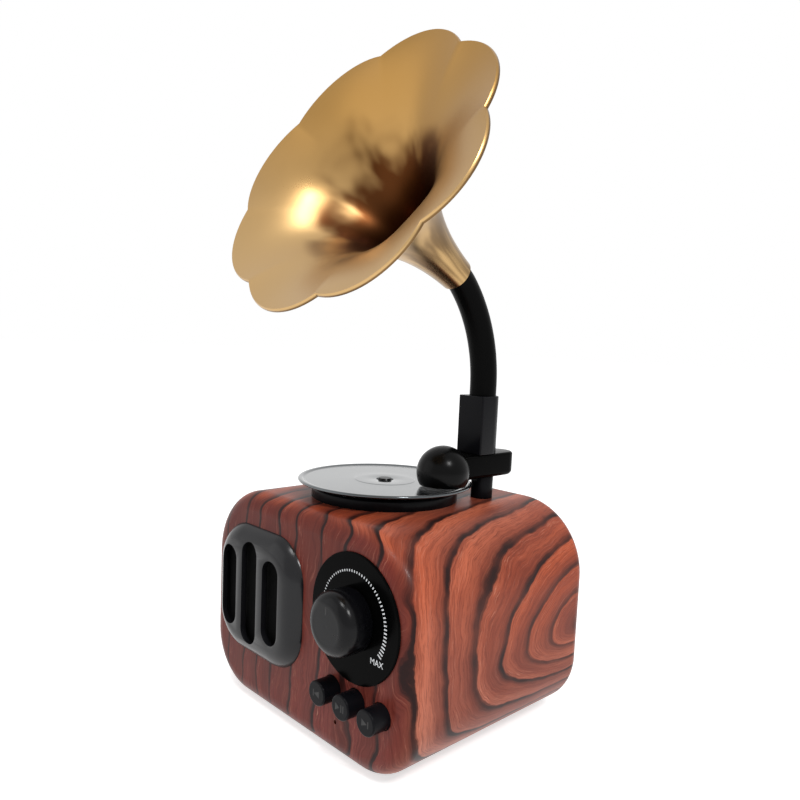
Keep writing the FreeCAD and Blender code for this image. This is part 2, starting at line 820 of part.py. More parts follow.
def make_driver_cone():
    """Flat surround, paper cone and the voice coil former behind it."""
    sheet = size.cone_sheet
    outer = size.opening_radius - size.slide_gap
    fold = size.opening_radius - size.surround_width
    front = size.cone_setback
    back = size.basket_depth - size.cone_rise
    coil_end = size.basket_depth + size.slide_gap
    return turned("driver_cone", DRIVER_AT, "rear", (
        (outer, front),
        (outer, front + sheet),
        (fold, front + sheet),
        (size.coil_radius + sheet, back),
        (size.coil_radius, coil_end),
        (size.coil_radius - sheet, coil_end),
        (size.coil_radius - sheet, back - sheet * 2),
        (fold - sheet, front),
    ))


def make_dust_cap():
    """A shallow dome over the voice coil."""
    radius = size.coil_radius - size.cone_sheet - size.slide_gap
    shoulder = radius * 0.6
    sheet = size.cap_sheet
    base = size.basket_depth - size.cap_setback
    crown = base - size.cap_dome
    slope = size.cap_dome * 0.3
    return turned("dust_cap", DRIVER_AT, "rear", (
        (0, crown),
        (shoulder, crown + slope),
        (radius, base),
        (radius, base + sheet * 2),
        (radius - sheet, base + sheet * 2),
        (radius - sheet, base + sheet),
        (shoulder, crown + slope + sheet),
        (0, crown + sheet),
    ))


def make_driver_magnet():
    """Ferrite ring and pole cup behind the basket."""
    start = size.basket_depth
    end = start + size.magnet_thickness
    slot_out = size.coil_radius + size.slide_gap * 2
    slot_in = size.coil_radius - size.cone_sheet - size.slide_gap
    edge = size.magnet_edge
    return turned("driver_magnet", DRIVER_AT, "rear", (
        (0, start),
        (slot_in, start),
        (slot_in, start + size.coil_slot),
        (slot_out, start + size.coil_slot),
        (slot_out, start),
        (size.magnet_radius - edge, start),
        (size.magnet_radius, start + edge),
        (size.magnet_radius, end - edge),
        (size.magnet_radius - edge, end),
        (0, end),
    ))


def make_driver_screws():
    under_head = INNER_FRONT + size.flange_thickness
    places = [(size.grille_x + x, under_head, FLOOR + GRILLE_HEIGHT + z) for x, z in DRIVER_CORNERS]
    return screws("driver_screws", size.driver_screw, places, "front")


# ---------------------------------------------------------------- dial and knob

def make_dial_plate():
    body = new_body("dial_plate", DIAL_AT, "front")
    disc = sketch_on(body, "disc")
    draw_circle(disc, size.dial_radius)
    pad(body, disc, size.dial_thickness)
    round_rim(body, size.dial_thickness, size.dial_edge)
    hole = sketch_on(body, "hole")
    draw_circle(hole, size.bush_radius + size.running_gap)
    pocket(body, hole, size.dial_thickness, backwards=True)
    return body


def make_volume_knob():
    """A cup over the nut, gripping the shaft."""
    bore = size.shaft_radius + size.bond_gap
    bore_end = size.knob_recess_depth + size.shaft_grip + size.seat_gap
    body = turned("volume_knob", (size.dial_x, KNOB_BACK, FLOOR + size.dial_height), "front", (
        (size.knob_recess, 0),
        (size.knob_radius, 0),
        (size.knob_radius, size.knob_length),
        (0, size.knob_length),
        (0, bore_end),
        (bore, bore_end),
        (bore, size.knob_recess_depth),
        (size.knob_recess, size.knob_recess_depth),
    ))
    round_rim(body, size.knob_length, size.knob_edge)
    return body


def make_knob_shaft():
    inner_end = INNER_FRONT + size.pot_depth - size.shaft_foot
    outer_end = KNOB_BACK - size.knob_recess_depth - size.shaft_grip
    return rod("knob_shaft", size.shaft_radius, inner_end - outer_end,
               (size.dial_x, inner_end, FLOOR + size.dial_height), "front")


def make_potentiometer():
    """Round body behind the front wall with a bush through wall and dial."""
    bush_end = size.pot_depth + size.wall + size.dial_thickness + size.nut_thickness
    bore = size.shaft_radius + size.running_gap
    bore_floor = size.shaft_foot - size.seat_gap
    at = (size.dial_x, INNER_FRONT + size.pot_depth, FLOOR + size.dial_height)
    return turned("potentiometer", at, "front", (
        (0, 0),
        (size.pot_radius, 0),
        (size.pot_radius, size.pot_depth),
        (size.bush_radius, size.pot_depth),
        (size.bush_radius, bush_end),
        (bore, bush_end),
        (bore, bore_floor),
        (0, bore_floor),
    ))


def make_shaft_nut():
    """Hexagonal nut that clamps dial and wall on the bush."""
    body = new_body("shaft_nut", (size.dial_x, DIAL_FACE, FLOOR + size.dial_height), "front")
    outline = sketch_on(body, "outline")
    corner = size.nut_across / 2 / math.cos(math.radians(30))
    points = [(corner * math.cos(math.radians(60 * step)), corner * math.sin(math.radians(60 * step)))
              for step in range(6)]
    draw_polygon(outline, [(x, y if abs(y.value) > 1e-6 else length(0)) for x, y in points])
    draw_circle(outline, size.bush_radius + size.running_gap / 2)
    pad(body, outline, size.nut_thickness)
    return body


# ---------------------------------------------------------------- buttons and front board

def make_button(name, x):
    """Cap through the wall, flange behind it and a stem into its switch."""
    proud = size.button_proud
    flange_top = -(size.wall + size.seat_gap)
    flange_low = flange_top - size.flange_height
    stem_end = -(size.wall + size.pot_depth - size.switch_height + size.stem_reach)
    body = turned(name, (x, FRONT, FLOOR + size.button_height), "front", (
        (0, proud),
        (size.button_radius, proud),
        (size.button_radius, flange_top),
        (size.button_flange, flange_top),
        (size.button_flange, flange_low),
        (size.stem_radius, flange_low),
        (size.stem_radius, stem_end),
        (0, stem_end),
    ))
    round_rim(body, proud, size.button_edge)
    return body


def make_button_switches():
    """Three push switches on the front board, each with a well for its stem."""
    half = size.switch_size / 2
    low_z = FLOOR + size.button_height - half
    front_face = BOARD_FRONT - size.switch_height
    cases = []
    wells = []
    for number, x in enumerate(BUTTON_X, start=1):
        label = "switch_" + str(number)
        cases.append(block(label + "_case", (x - half, front_face, low_z),
                           (size.switch_size, size.switch_height, size.switch_size)))
        wells.append(rod(label + "_well", size.stem_radius + size.running_gap,
                         size.stem_reach + size.button_travel + size.slide_gap,
                         (x, front_face, FLOOR + size.button_height), "rear"))
    return cut("button_switches", join("switch_cases", cases), join("switch_wells", wells))


def make_front_board():
    body = new_body("front_board", (0, BOARD_FRONT, FLOOR))
    outline = sketch_on(body, "outline", "XZ_Plane")
    draw_rounded_rectangle(outline, size.front_board_width, size.front_board_tall,
                           size.board_top_corner, size.board_corner,
                           middle=(size.board_centre_x, size.board_centre_height))
    for x, z in BOARD_SCREWS:
        draw_circle(outline, size.screw_radius + size.running_gap, (x, z))
    pad(body, outline, size.board_thickness, backwards=True)
    return body


def make_front_board_screws():
    places = [(x, BOARD_FRONT + size.board_thickness, FLOOR + z) for x, z in BOARD_SCREWS]
    return screws("front_board_screws", size.board_screw, places, "front")


def make_microphone():
    gap = size.seat_gap * 2
    return rod("microphone", size.mic_radius, size.pot_depth - gap,
               (size.mic_x, BOARD_FRONT, FLOOR + size.mic_height), "front")


# ---------------------------------------------------------------- main board and ports

def make_main_board():
    body = new_body("main_board", (0, MAIN_BOARD_REAR, FLOOR))
    outline = sketch_on(body, "outline", "XZ_Plane")
    draw_rounded_rectangle(outline, size.main_board_width, size.main_board_tall, size.board_top_corner,
                           middle=(0, size.main_board_height))
    for x, z in MAIN_SCREWS:
        draw_circle(outline, size.screw_radius + size.running_gap, (x, z))
    pad(body, outline, size.board_thickness)
    return body


def make_main_board_screws():
    places = [(x, MAIN_BOARD_REAR - size.board_thickness, FLOOR + z) for x, z in MAIN_SCREWS]
    return screws("main_board_screws", size.main_board_screw, places, "rear")


def port_low(index, width, tall):
    """Lowest corner of a port body that sits on the main board."""
    return (PORT_X[index] - width / 2, MAIN_BOARD_REAR, FLOOR + size.port_height - tall / 2)


def port_reach():
    return size.main_board_gap + size.rear_thickness - size.port_recess


def make_charging_port():
    """Metal shell with an oval mouth and a tongue inside."""
    body = new_body("charging_port", (PORT_X[2], MAIN_BOARD_REAR, FLOOR + size.port_height), "rear")
    outline = sketch_on(body, "shell")
    radius = almost_half(size.usb_tall)
    draw_rounded_rectangle(outline, size.usb_width, size.usb_tall, radius)
    pad(body, outline, port_reach())
    mouth = sketch_on(body, "mouth", "XY_Plane", (0, 0, size.usb_floor))
    margin = size.usb_sheet * 2
    draw_rounded_rectangle(mouth, size.usb_width - margin, size.usb_tall - margin, radius - size.usb_sheet)
    draw_rounded_rectangle(mouth, size.tongue_width, size.tongue_thickness, size.tongue_thickness / 4)
    pocket(body, mouth, port_reach(), backwards=True)
    return body


def make_aux_jack():
    """Square body with a round nose and the plug's bore."""
    body = new_body("aux_jack", (PORT_X[1], MAIN_BOARD_REAR, FLOOR + size.port_height), "rear")
    case = sketch_on(body, "case")
    draw_rounded_rectangle(case, size.jack_body, size.jack_body, size.case_corner)
    pad(body, case, size.main_board_gap - size.seat_gap)
    nose = sketch_on(body, "nose")
    draw_circle(nose, size.jack_nose)
    pad(body, nose, port_reach())
    bore = sketch_on(body, "bore", "XY_Plane", (0, 0, port_reach()))
    draw_circle(bore, size.jack_radius)
    pocket(body, bore, size.jack_bore)
    return body


def make_card_slot():
    case = block("card_case", port_low(3, size.card_width, size.card_tall),
                 (size.card_width, port_reach(), size.card_tall))
    low = FLOOR + size.port_height - size.card_slit / 2
    slit = block("card_slit",
                 (PORT_X[3] - size.card_slit_width / 2, MAIN_BOARD_REAR + size.usb_floor, low),
                 (size.card_slit_width, port_reach(), size.card_slit))
    return cut("card_slot", case, slit)


def make_power_switch_body():
    centre = PORT_X[0] + size.slider_travel / 2
    case = block("switch_frame",
                 (centre - size.switch_body_width / 2, MAIN_BOARD_REAR,
                  FLOOR + size.port_height - size.switch_body_tall / 2),
                 (size.switch_body_width, size.switch_body_depth, size.switch_body_tall))
    tall = size.slider_tall + size.slide_gap
    lane = block("switch_lane",
                 (centre - SLIDER_LANE / 2, MAIN_BOARD_REAR + size.switch_body_depth - size.channel_depth,
                  FLOOR + size.port_height - tall / 2),
                 (SLIDER_LANE, size.channel_depth, tall))
    return cut("power_switch_body", case, lane)


def make_power_switch_slider():
    start = MAIN_BOARD_REAR + size.switch_body_depth - size.channel_depth + size.slide_gap
    return block("power_switch_slider",
                 (PORT_X[0] - size.slider_width / 2, start,
                  FLOOR + size.port_height - size.slider_tall / 2),
                 (size.slider_width, BACK + size.slider_proud - start, size.slider_tall))


def make_rear_cover_screws():
    places = [(x, BACK - size.screw_head_height, FLOOR + z) for x, z in COVER_SCREWS]
    return screws("rear_cover_screws", size.cover_screw, places, "front")


# ---------------------------------------------------------------- battery

def battery_axis_height():
    return FLOOR + size.wall + size.holder_floor + size.battery_radius


def make_battery_cell():
    """A cylindrical cell with its raised top contact."""
    can_end = size.battery_length - size.button_top
    at = (-size.battery_length / 2, size.battery_y, battery_axis_height())
    return turned("battery_cell", at, "right", (
        (0, 0),
        (size.battery_radius, 0),
        (size.battery_radius, can_end),
        (size.button_top_radius, can_end),
        (size.button_top_radius, size.battery_length),
        (0, size.battery_length),
    ))


def make_battery_holder():
    half = size.holder_length / 2
    tray = block("holder_tray", (-half, size.battery_y - size.holder_depth / 2, FLOOR + size.wall),
                 (size.holder_length, size.holder_depth, size.holder_height))
    trough = rod("holder_trough", size.battery_radius + size.seat_gap, size.holder_length,
                 (-half, size.battery_y, battery_axis_height()), "right")
    return cut("battery_holder", tray, trough)


# ---------------------------------------------------------------- turntable

def make_turntable_base():
    body = turned("turntable_base", (size.platter_x, size.platter_y, ROOF), "up", (
        (0, 0),
        (size.base_radius, 0),
        (size.base_radius, size.base_height),
        (size.spindle_radius + size.bond_gap, size.base_height),
        (size.spindle_radius + size.bond_gap, size.spindle_floor),
        (0, size.spindle_floor),
    ))
    round_rim(body, size.base_height, size.base_edge,
              test=lambda edge: edge.BoundBox.XLength > size.base_radius.value)
    pilots = sketch_on(body, "pilots")
    for side in (-1, 1):
        draw_circle(pilots, size.screw_radius + size.running_gap, (size.top_screw_pitch / 2 * side, 0))
    pocket(body, pilots, size.top_screw - size.wall + size.seat_gap, backwards=True)
    return body


def make_platter_spindle():
    foot = BASE_TOP - size.base_height + size.spindle_floor + size.seat_gap
    head_low = PLATTER_TOP - size.spindle_head_height + size.seat_gap
    top = head_low + size.spindle_head_height
    return turned("platter_spindle", (size.platter_x, size.platter_y, foot), "up", (
        (0, 0),
        (size.spindle_radius, 0),
        (size.spindle_radius, head_low - foot),
        (size.spindle_head, head_low - foot),
        (size.spindle_head - size.spindle_edge, top - foot),
        (0, top - foot),
    ))


def make_record_platter():
    """Disc with a raised rim, a raised label land and a hub under it."""
    top = size.platter_thickness
    low = top - size.rim_depth
    inner_rim = size.platter_radius - size.rim_width
    well = size.spindle_head + size.slide_gap
    body = turned("record_platter", (size.platter_x, size.platter_y, PLATTER_LOW), "up", (
        (size.spindle_radius + size.running_gap, -(size.platter_lift - size.slide_gap)),
        (size.hub_radius, -(size.platter_lift - size.slide_gap)),
        (size.hub_radius, 0),
        (size.platter_radius, 0),
        (size.platter_radius, top),
        (inner_rim, top),
        (inner_rim - size.rim_depth, low),
        (size.label_radius, low),
        (size.label_radius - size.rim_depth, top),
        (well, top),
        (well, top - size.spindle_head_height),
        (size.spindle_radius + size.running_gap, top - size.spindle_head_height),
    ))
    round_rim(body, top, size.platter_edge,
              test=lambda edge: edge.BoundBox.XLength > (inner_rim.value + size.rim_width.value / 2) * 2)
    return body


def make_top_screws():
    under_head = ROOF - size.wall
    places = [(x, size.platter_y, under_head) for x in BASE_SCREW_X]
    places.append((size.arm_x, size.post_y, under_head))
    return screws("top_screws", size.top_screw, places, "up")


# ---------------------------------------------------------------- tonearm

def make_tonearm_post():
    body = turned("tonearm_post", (size.arm_x, size.post_y, ROOF), "up", (
        (size.screw_radius + size.running_gap, 0),
        (size.post_radius, 0),
        (size.post_radius, size.arm_lift),
        (size.spigot_radius, size.arm_lift),
        (size.spigot_radius, size.arm_lift + size.spigot_length),
        (0, size.arm_lift + size.spigot_length),
        (0, size.top_screw - size.wall + size.seat_gap),
        (size.screw_radius + size.running_gap, size.top_screw - size.wall + size.seat_gap),
    ))
    return body


def make_tonearm():
    """Bar with a half-round rear end; its front end plugs into the soundbox."""
    body = new_body("tonearm", (size.arm_x, 0, ARM_LOW))
    plan = sketch_on(body, "plan")
    long = size.arm_end_y - ARM_FRONT
    draw_rounded_rectangle(plan, size.arm_width, long, almost_half(size.arm_width), size.arm_edge,
                           middle=(0, ARM_FRONT + long / 2))
    pad(body, plan, size.arm_height)
    round_rim(body, 0, size.arm_low_edge, "low_round")
    round_rim(body, size.arm_height, size.arm_edge, "top_round")
    seat = sketch_on(body, "spigot_seat")
    draw_circle(seat, size.spigot_radius + size.running_gap / 2, (0, size.post_y))
    pocket(body, seat, size.spigot_length + size.seat_gap, backwards=True)
    return body


def make_soundbox():
    """Round head with a flat under it, just clear of the record."""
    centre = ROOF + size.soundbox_lift
    at = (size.arm_x, size.soundbox_y, centre)
    head = ball("soundbox_ball", size.soundbox_radius, at)
    flat = PLATTER_TOP + size.soundbox_gap
    span = size.soundbox_radius * 2
    under = block("soundbox_under",
                  (size.arm_x - size.soundbox_radius, size.soundbox_y - size.soundbox_radius, flat - span),
                  (span, span, span))
    gap = size.running_gap
    socket = block("soundbox_socket",
                   (size.arm_x - size.arm_width / 2 - gap, ARM_FRONT - gap, ARM_LOW - gap),
                   (size.arm_width + gap * 2, span, size.arm_height + gap * 2))
    return cut("soundbox", head, join("soundbox_cuts", [under, socket]))


# ---------------------------------------------------------------- horn

def make_horn_socket():
    """Upright collar with a round back that the tube turns in."""
    body = new_body("horn_socket", HORN_AT)
    plan = sketch_on(body, "plan")
    back = size.socket_width / 2
    draw_rounded_rectangle(plan, size.socket_width, size.socket_front + back,
                           almost_half(size.socket_width), size.socket_corner,
                           middle=(0, (back - size.socket_front) / 2))
    pad(body, plan, size.socket_height)
    round_rim(body, size.socket_height, size.socket_corner / 2)
    bore = sketch_on(body, "bore")
    draw_circle(bore, size.tube_radius + size.running_gap)
    pocket(body, bore, size.socket_height, backwards=True)
    return body


def turn_to_heading(body):
    """Turn a body that was built along +X to the horn's heading, measured from the front."""
    turn = Rotation(Vector(0, 0, -1), 90 - size.horn_heading.value)
    body.Placement = FreeCAD.Placement(body.Placement.Base, turn)
    body.setExpression("Placement.Rotation.Angle", "90 - " + size.horn_heading.text)


def horn_path(sketch):
    """Upright run, long bend, short neck bend and a run into the bell's throat."""
    rise = size.tube_rise.value - size.seat_gap.value
    bend = math.radians(size.bend_angle.value)
    neck = math.radians(90 - size.horn_elevation.value - size.bend_angle.value)
    big, small = size.bend_radius.value, size.neck_radius.value
    axis = Vector(0, 0, 1)
    top = Vector(0, rise, 0)
    centre = top + Vector(big, 0, 0)
    bend_end = centre + Vector(-big * math.cos(bend), big * math.sin(bend), 0)
    neck_centre = bend_end + Vector(small * math.cos(bend), -small * math.sin(bend), 0)
    turn = bend + neck
    neck_end = neck_centre + Vector(-small * math.cos(turn), small * math.sin(turn), 0)
    run = Vector(math.sin(turn), math.cos(turn), 0) * size.throat_overlap.value
    sketch.addGeometry(Part.LineSegment(Vector(0, 0, 0), top))
    sketch.addGeometry(Part.ArcOfCircle(Part.Circle(centre, axis, big), math.pi - bend, math.pi))
    neck_circle = Part.Circle(neck_centre, axis, small)
    sketch.addGeometry(Part.ArcOfCircle(neck_circle, math.pi - turn, math.pi - bend))
    sketch.addGeometry(Part.LineSegment(neck_end, neck_end + run))
    sketch.addConstraint(Sketcher.Constraint("Coincident", 0, 1, -1, 1))
    sketch.addConstraint(Sketcher.Constraint("Vertical", 0))
    for where in ((0, 2, 1, 2), (1, 1, 2, 2), (2, 1, 3, 1)):
        sketch.addConstraint(Sketcher.Constraint("Tangent", *where))
    dimension(sketch, "DistanceY", (0, 1, 0, 2), size.tube_rise - size.seat_gap)
    dimension(sketch, "Radius", (1,), size.bend_radius)
    dimension(sketch, "Radius", (2,), size.neck_radius)
    dimension(sketch, "Distance", (3,), size.throat_overlap)
    bend_deg = size.bend_angle
    neck_deg = length(90) - size.horn_elevation - size.bend_angle
    for arc, amount in ((1, bend_deg), (2, neck_deg)):
        start = math.radians(amount.value)
        index = sketch.addConstraint(Sketcher.Constraint("Angle", arc, start))
        sketch.setExpression("Constraints[" + str(index) + "]", amount.text + " * 1deg")


def make_horn_tube():
    body = new_body("horn_tube", (HORN_AT[0], HORN_AT[1], HORN_AT[2] + size.seat_gap))
    path = sketch_on(body, "path", "XZ_Plane")
    horn_path(path)
    section = sketch_on(body, "section")
    draw_circle(section, size.tube_radius)
    draw_circle(section, size.tube_radius - size.tube_wall)
    doc.recompute()
    pipe = body.newObject("PartDesign::AdditivePipe", "horn_tube_pipe")
    pipe.Profile = section
    pipe.Spine = (path, ["Edge1", "Edge2", "Edge3", "Edge4"])
    turn_to_heading(body)
    return body


def throat_place():
    """Distance forward and height of the bell's throat from the tube's foot."""
    bend = math.radians(size.bend_angle.value)
    turn = math.radians(90 - size.horn_elevation.value)
    big, small = size.bend_radius.value, size.neck_radius.value
    forward = big * (1 - math.cos(bend)) + small * (math.cos(bend) - math.cos(turn))
    height = size.tube_rise.value + big * math.sin(bend) + small * (math.sin(turn) - math.sin(bend))
    return forward, height


def bell_profile(t):
    """Point and outward normal of the bell's outer curve, a cubic from throat to mouth."""
    controls = (
        (0.0, size.throat_radius.value),
        (size.bell_first_x.value, size.bell_first_radius.value),
        (size.bell_second_x.value, size.bell_second_radius.value),
        (size.bell_length.value, size.bell_radius.value),
    )
    weights = ((1 - t) ** 3, 3 * t * (1 - t) ** 2, 3 * t * t * (1 - t), t ** 3)
    slopes = (-3 * (1 - t) ** 2, 3 * (1 - t) * (1 - 3 * t), 3 * t * (2 - 3 * t), 3 * t * t)
    x, r = (sum(w * c[i] for w, c in zip(weights, controls)) for i in (0, 1))
    dx, dr = (sum(w * c[i] for w, c in zip(slopes, controls)) for i in (0, 1))
    slope = math.hypot(dx, dr)
    return x, r, -dr / slope, dx / slope


def bell_point(t, angle, depth):
    """A point of the bell: along the curve, round the petal, and in from the outer skin."""
    x, r, normal_x, normal_r = bell_profile(t)
    wall = size.throat_wall.value + (size.bell_wall.value - size.throat_wall.value) * min(1.0, 3 * t)
    growth = (r - size.throat_radius.value) / (size.bell_radius.value - size.throat_radius.value)
    half = math.pi / size.petal_count.value
    bulge = (math.cos(angle) - math.cos(half)) / (1 - math.cos(half))
    x -= depth * wall * normal_x
    r = (r - depth * wall * normal_r) * (1 + size.petal_bulge.value * growth * bulge)
    return Vector(r * math.cos(angle), r * math.sin(angle), x)


def petal_faces():
    """One petal as a closed strip: outer skin, inner skin, rim and throat faces."""
    half = math.pi / size.petal_count.value
    rows, columns = 18, 9
    skins = []
    for depth in (0, 1):
        grid = [[bell_point(row / (rows - 1), half * (2 * column / (columns - 1) - 1), depth)
                 for column in range(columns)] for row in range(rows)]
        surface = Part.BSplineSurface()
        surface.interpolate(grid)
        skins.append(surface)
    faces = [surface.toShape() for surface in skins]
    for parameter_at_end in (0, 1):
        edges = []
        for surface in skins:
            u = surface.bounds()[parameter_at_end]
            edges.append(surface.uIso(u).toShape())
        faces.append(Part.makeRuledSurface(edges[0], edges[1]))
    return faces


def make_horn_bell():
    """Eight petals, each bulging between two creases, as one thin closed shell."""
    count = int(size.petal_count.value)
    faces = []
    for petal in range(count):
        turn = 360.0 * (petal + 0.5) / count + size.petal_turn.value
        for face in petal_faces():
            faces.append(face.rotated(Vector(0, 0, 0), Vector(0, 0, 1), turn))
    shell = Part.makeShell(faces)
    shell.sewShape()
    solid = Part.makeSolid(shell)
    if solid.Volume < 0:
        solid.reverse()
    bell = add("Part::Feature", "horn_bell")
    forward, height = throat_place()
    heading = math.radians(size.horn_heading.value - 90)
    base = Vector(HORN_AT[0].value + forward * math.cos(heading),
                  HORN_AT[1].value + forward * math.sin(heading),
                  HORN_AT[2].value + height)
    tilt = Rotation(Vector(0, 1, 0), 90 - size.horn_elevation.value)
    bell.Shape = solid
    bell.Placement = FreeCAD.Placement(base, Rotation(Vector(0, 0, 1), math.degrees(heading)).multiply(tilt))
    return bell


# ---------------------------------------------------------------- build and export

PARTS = [
    make_cabinet_shell(), make_base_pad(), make_rear_cover(),
    make_speaker_grille(), make_grille_cloth(),
    make_driver_basket(), make_driver_cone(), make_dust_cap(), make_driver_magnet(), make_driver_screws(),
    make_dial_plate(), make_volume_knob(), make_knob_shaft(), make_potentiometer(), make_shaft_nut(),
    make_button_switches(), make_front_board(), make_front_board_screws(), make_microphone(),
    make_main_board(), make_main_board_screws(), make_rear_cover_screws(),
    make_charging_port(), make_aux_jack(), make_card_slot(),
    make_power_switch_body(), make_power_switch_slider(),
    make_battery_cell(), make_battery_holder(),
    make_turntable_base(), make_platter_spindle(), make_record_platter(), make_top_screws(),
    make_tonearm_post(), make_tonearm(), make_soundbox(),
    make_horn_socket(), make_horn_tube(), make_horn_bell(),
]
PARTS += [make_button(name, x) for name, x in zip(BUTTON_NAMES, BUTTON_X)]

doc.recompute()
for thing in doc.Objects:
    if "Invalid" in thing.State or "Error" in thing.State:
        raise RuntimeError(thing.Name + " did not build: " + str(thing.State))

for thing in doc.findObjects("PartDesign::Pocket"):
    if thing.Shape.Volume > thing.BaseFeature.Shape.Volume - 1e-6:
        raise RuntimeError(thing.Name + " cuts nothing")

os.makedirs("parts", exist_ok=True)
for thing in PARTS:
    if thing.Shape.isNull() or not thing.Shape.isValid():
        raise RuntimeError(thing.Label + " has no valid shape")
for thing in PARTS:
    thing.Shape.exportStep(os.path.join("parts", thing.Label + ".step"))
    print(f"{thing.Label:22s} solids {len(thing.Shape.Solids)}, volume {thing.Shape.Volume:.1f}")
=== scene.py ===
"""Looks of the horn loudspeaker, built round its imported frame. Metres, +Z up, -Y to the front."""
import json
import math

import bmesh
import bpy
from mathutils import Matrix, Vector

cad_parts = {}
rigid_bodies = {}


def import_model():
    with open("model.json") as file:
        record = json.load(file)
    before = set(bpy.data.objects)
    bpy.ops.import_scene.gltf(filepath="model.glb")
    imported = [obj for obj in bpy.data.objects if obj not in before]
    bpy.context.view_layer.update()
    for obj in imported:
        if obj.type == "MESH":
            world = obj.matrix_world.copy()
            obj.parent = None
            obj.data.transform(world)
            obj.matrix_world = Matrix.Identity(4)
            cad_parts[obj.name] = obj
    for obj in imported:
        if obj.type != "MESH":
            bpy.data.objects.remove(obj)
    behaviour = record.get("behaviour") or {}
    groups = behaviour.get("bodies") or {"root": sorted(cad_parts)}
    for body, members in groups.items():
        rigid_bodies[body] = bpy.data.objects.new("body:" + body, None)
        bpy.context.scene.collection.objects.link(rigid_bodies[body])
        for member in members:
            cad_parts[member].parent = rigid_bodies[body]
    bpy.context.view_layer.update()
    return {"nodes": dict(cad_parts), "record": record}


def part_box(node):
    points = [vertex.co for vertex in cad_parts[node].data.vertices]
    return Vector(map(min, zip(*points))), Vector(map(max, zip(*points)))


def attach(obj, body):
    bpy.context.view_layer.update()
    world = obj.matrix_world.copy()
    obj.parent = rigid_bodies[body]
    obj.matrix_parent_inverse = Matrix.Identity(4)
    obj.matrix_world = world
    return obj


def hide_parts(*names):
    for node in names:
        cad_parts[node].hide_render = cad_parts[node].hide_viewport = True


MM = 0.001

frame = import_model()


# ---------------------------------------------------------------- places from the frame

def corners(node):
    """Low and high corner of a node's box."""
    return [Vector(corner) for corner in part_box(node)]


def joint_place(name):
    """The point that a joint's axis passes through."""
    joint = next(j for j in frame["record"]["behaviour"]["joints"] if j["name"] == name)
    return Vector(joint["pos_m"])


SUBPARTS = frame["record"]["subparts"]
NODE_SLOTS = {row["node"]: row["material_slot"] for row in SUBPARTS}
BODY_OF = {row["node"]: frame["nodes"][row["node"]].parent.name.split(":")[-1] for row in SUBPARTS}
CABINET_HIGH = corners("cabinet_shell")[1]

# Lengths are in mm and angles in degrees.
# The horn's tube: an upright run, a long bend and a short, tighter bend to the bell's throat.
TUBE = {"rise": 22.5, "bend_radius": 46.4, "bend_angle": 45.0, "neck_radius": 15.4}
# The bell's outer curve is a cubic of (distance from the throat, radius), spun in petals.
# Its wall is given at the throat and at the mouth.
BELL = {"curve": ((0.0, 5.35), (22.8, 6.85), (42.3, 14.5), (51.3, 42.0)), "wall": (0.8, 1.2),
        "petals": 8, "bulge": 0.084, "turn": 14.0, "heading": 2.5, "elevation": 28.3,
        "lip_bead": 0.15, "lip_inset": 0.06}


def bell_directions():
    """Unit vectors out of the bell, down across its mouth, and sideways."""
    heading = math.radians(BELL["heading"] - 90)
    rise = math.radians(BELL["elevation"])
    level = Vector((math.cos(heading), math.sin(heading), 0))
    axis = level * math.cos(rise) + Vector((0, 0, math.sin(rise)))
    down = level * math.sin(rise) - Vector((0, 0, math.cos(rise)))
    return axis, down, axis.cross(down)


def throat_place():
    """Centre of the bell's throat, at the end of the tube's bends."""
    foot = joint_place("horn_swivel")
    foot.z = corners("tonearm")[1].z
    heading = math.radians(BELL["heading"] - 90)
    bend = math.radians(TUBE["bend_angle"])
    turn = math.radians(90 - BELL["elevation"])
    big, small = TUBE["bend_radius"], TUBE["neck_radius"]
    forward = big * (1 - math.cos(bend)) + small * (math.cos(bend) - math.cos(turn))
    height = TUBE["rise"] + big * math.sin(bend) + small * (math.sin(turn) - math.sin(bend))
    return foot + Vector((forward * math.cos(heading), forward * math.sin(heading), height)) * MM


BELL_AXIS, BELL_DOWN, BELL_SIDE = bell_directions()
THROAT = throat_place()


# ---------------------------------------------------------------- node helpers

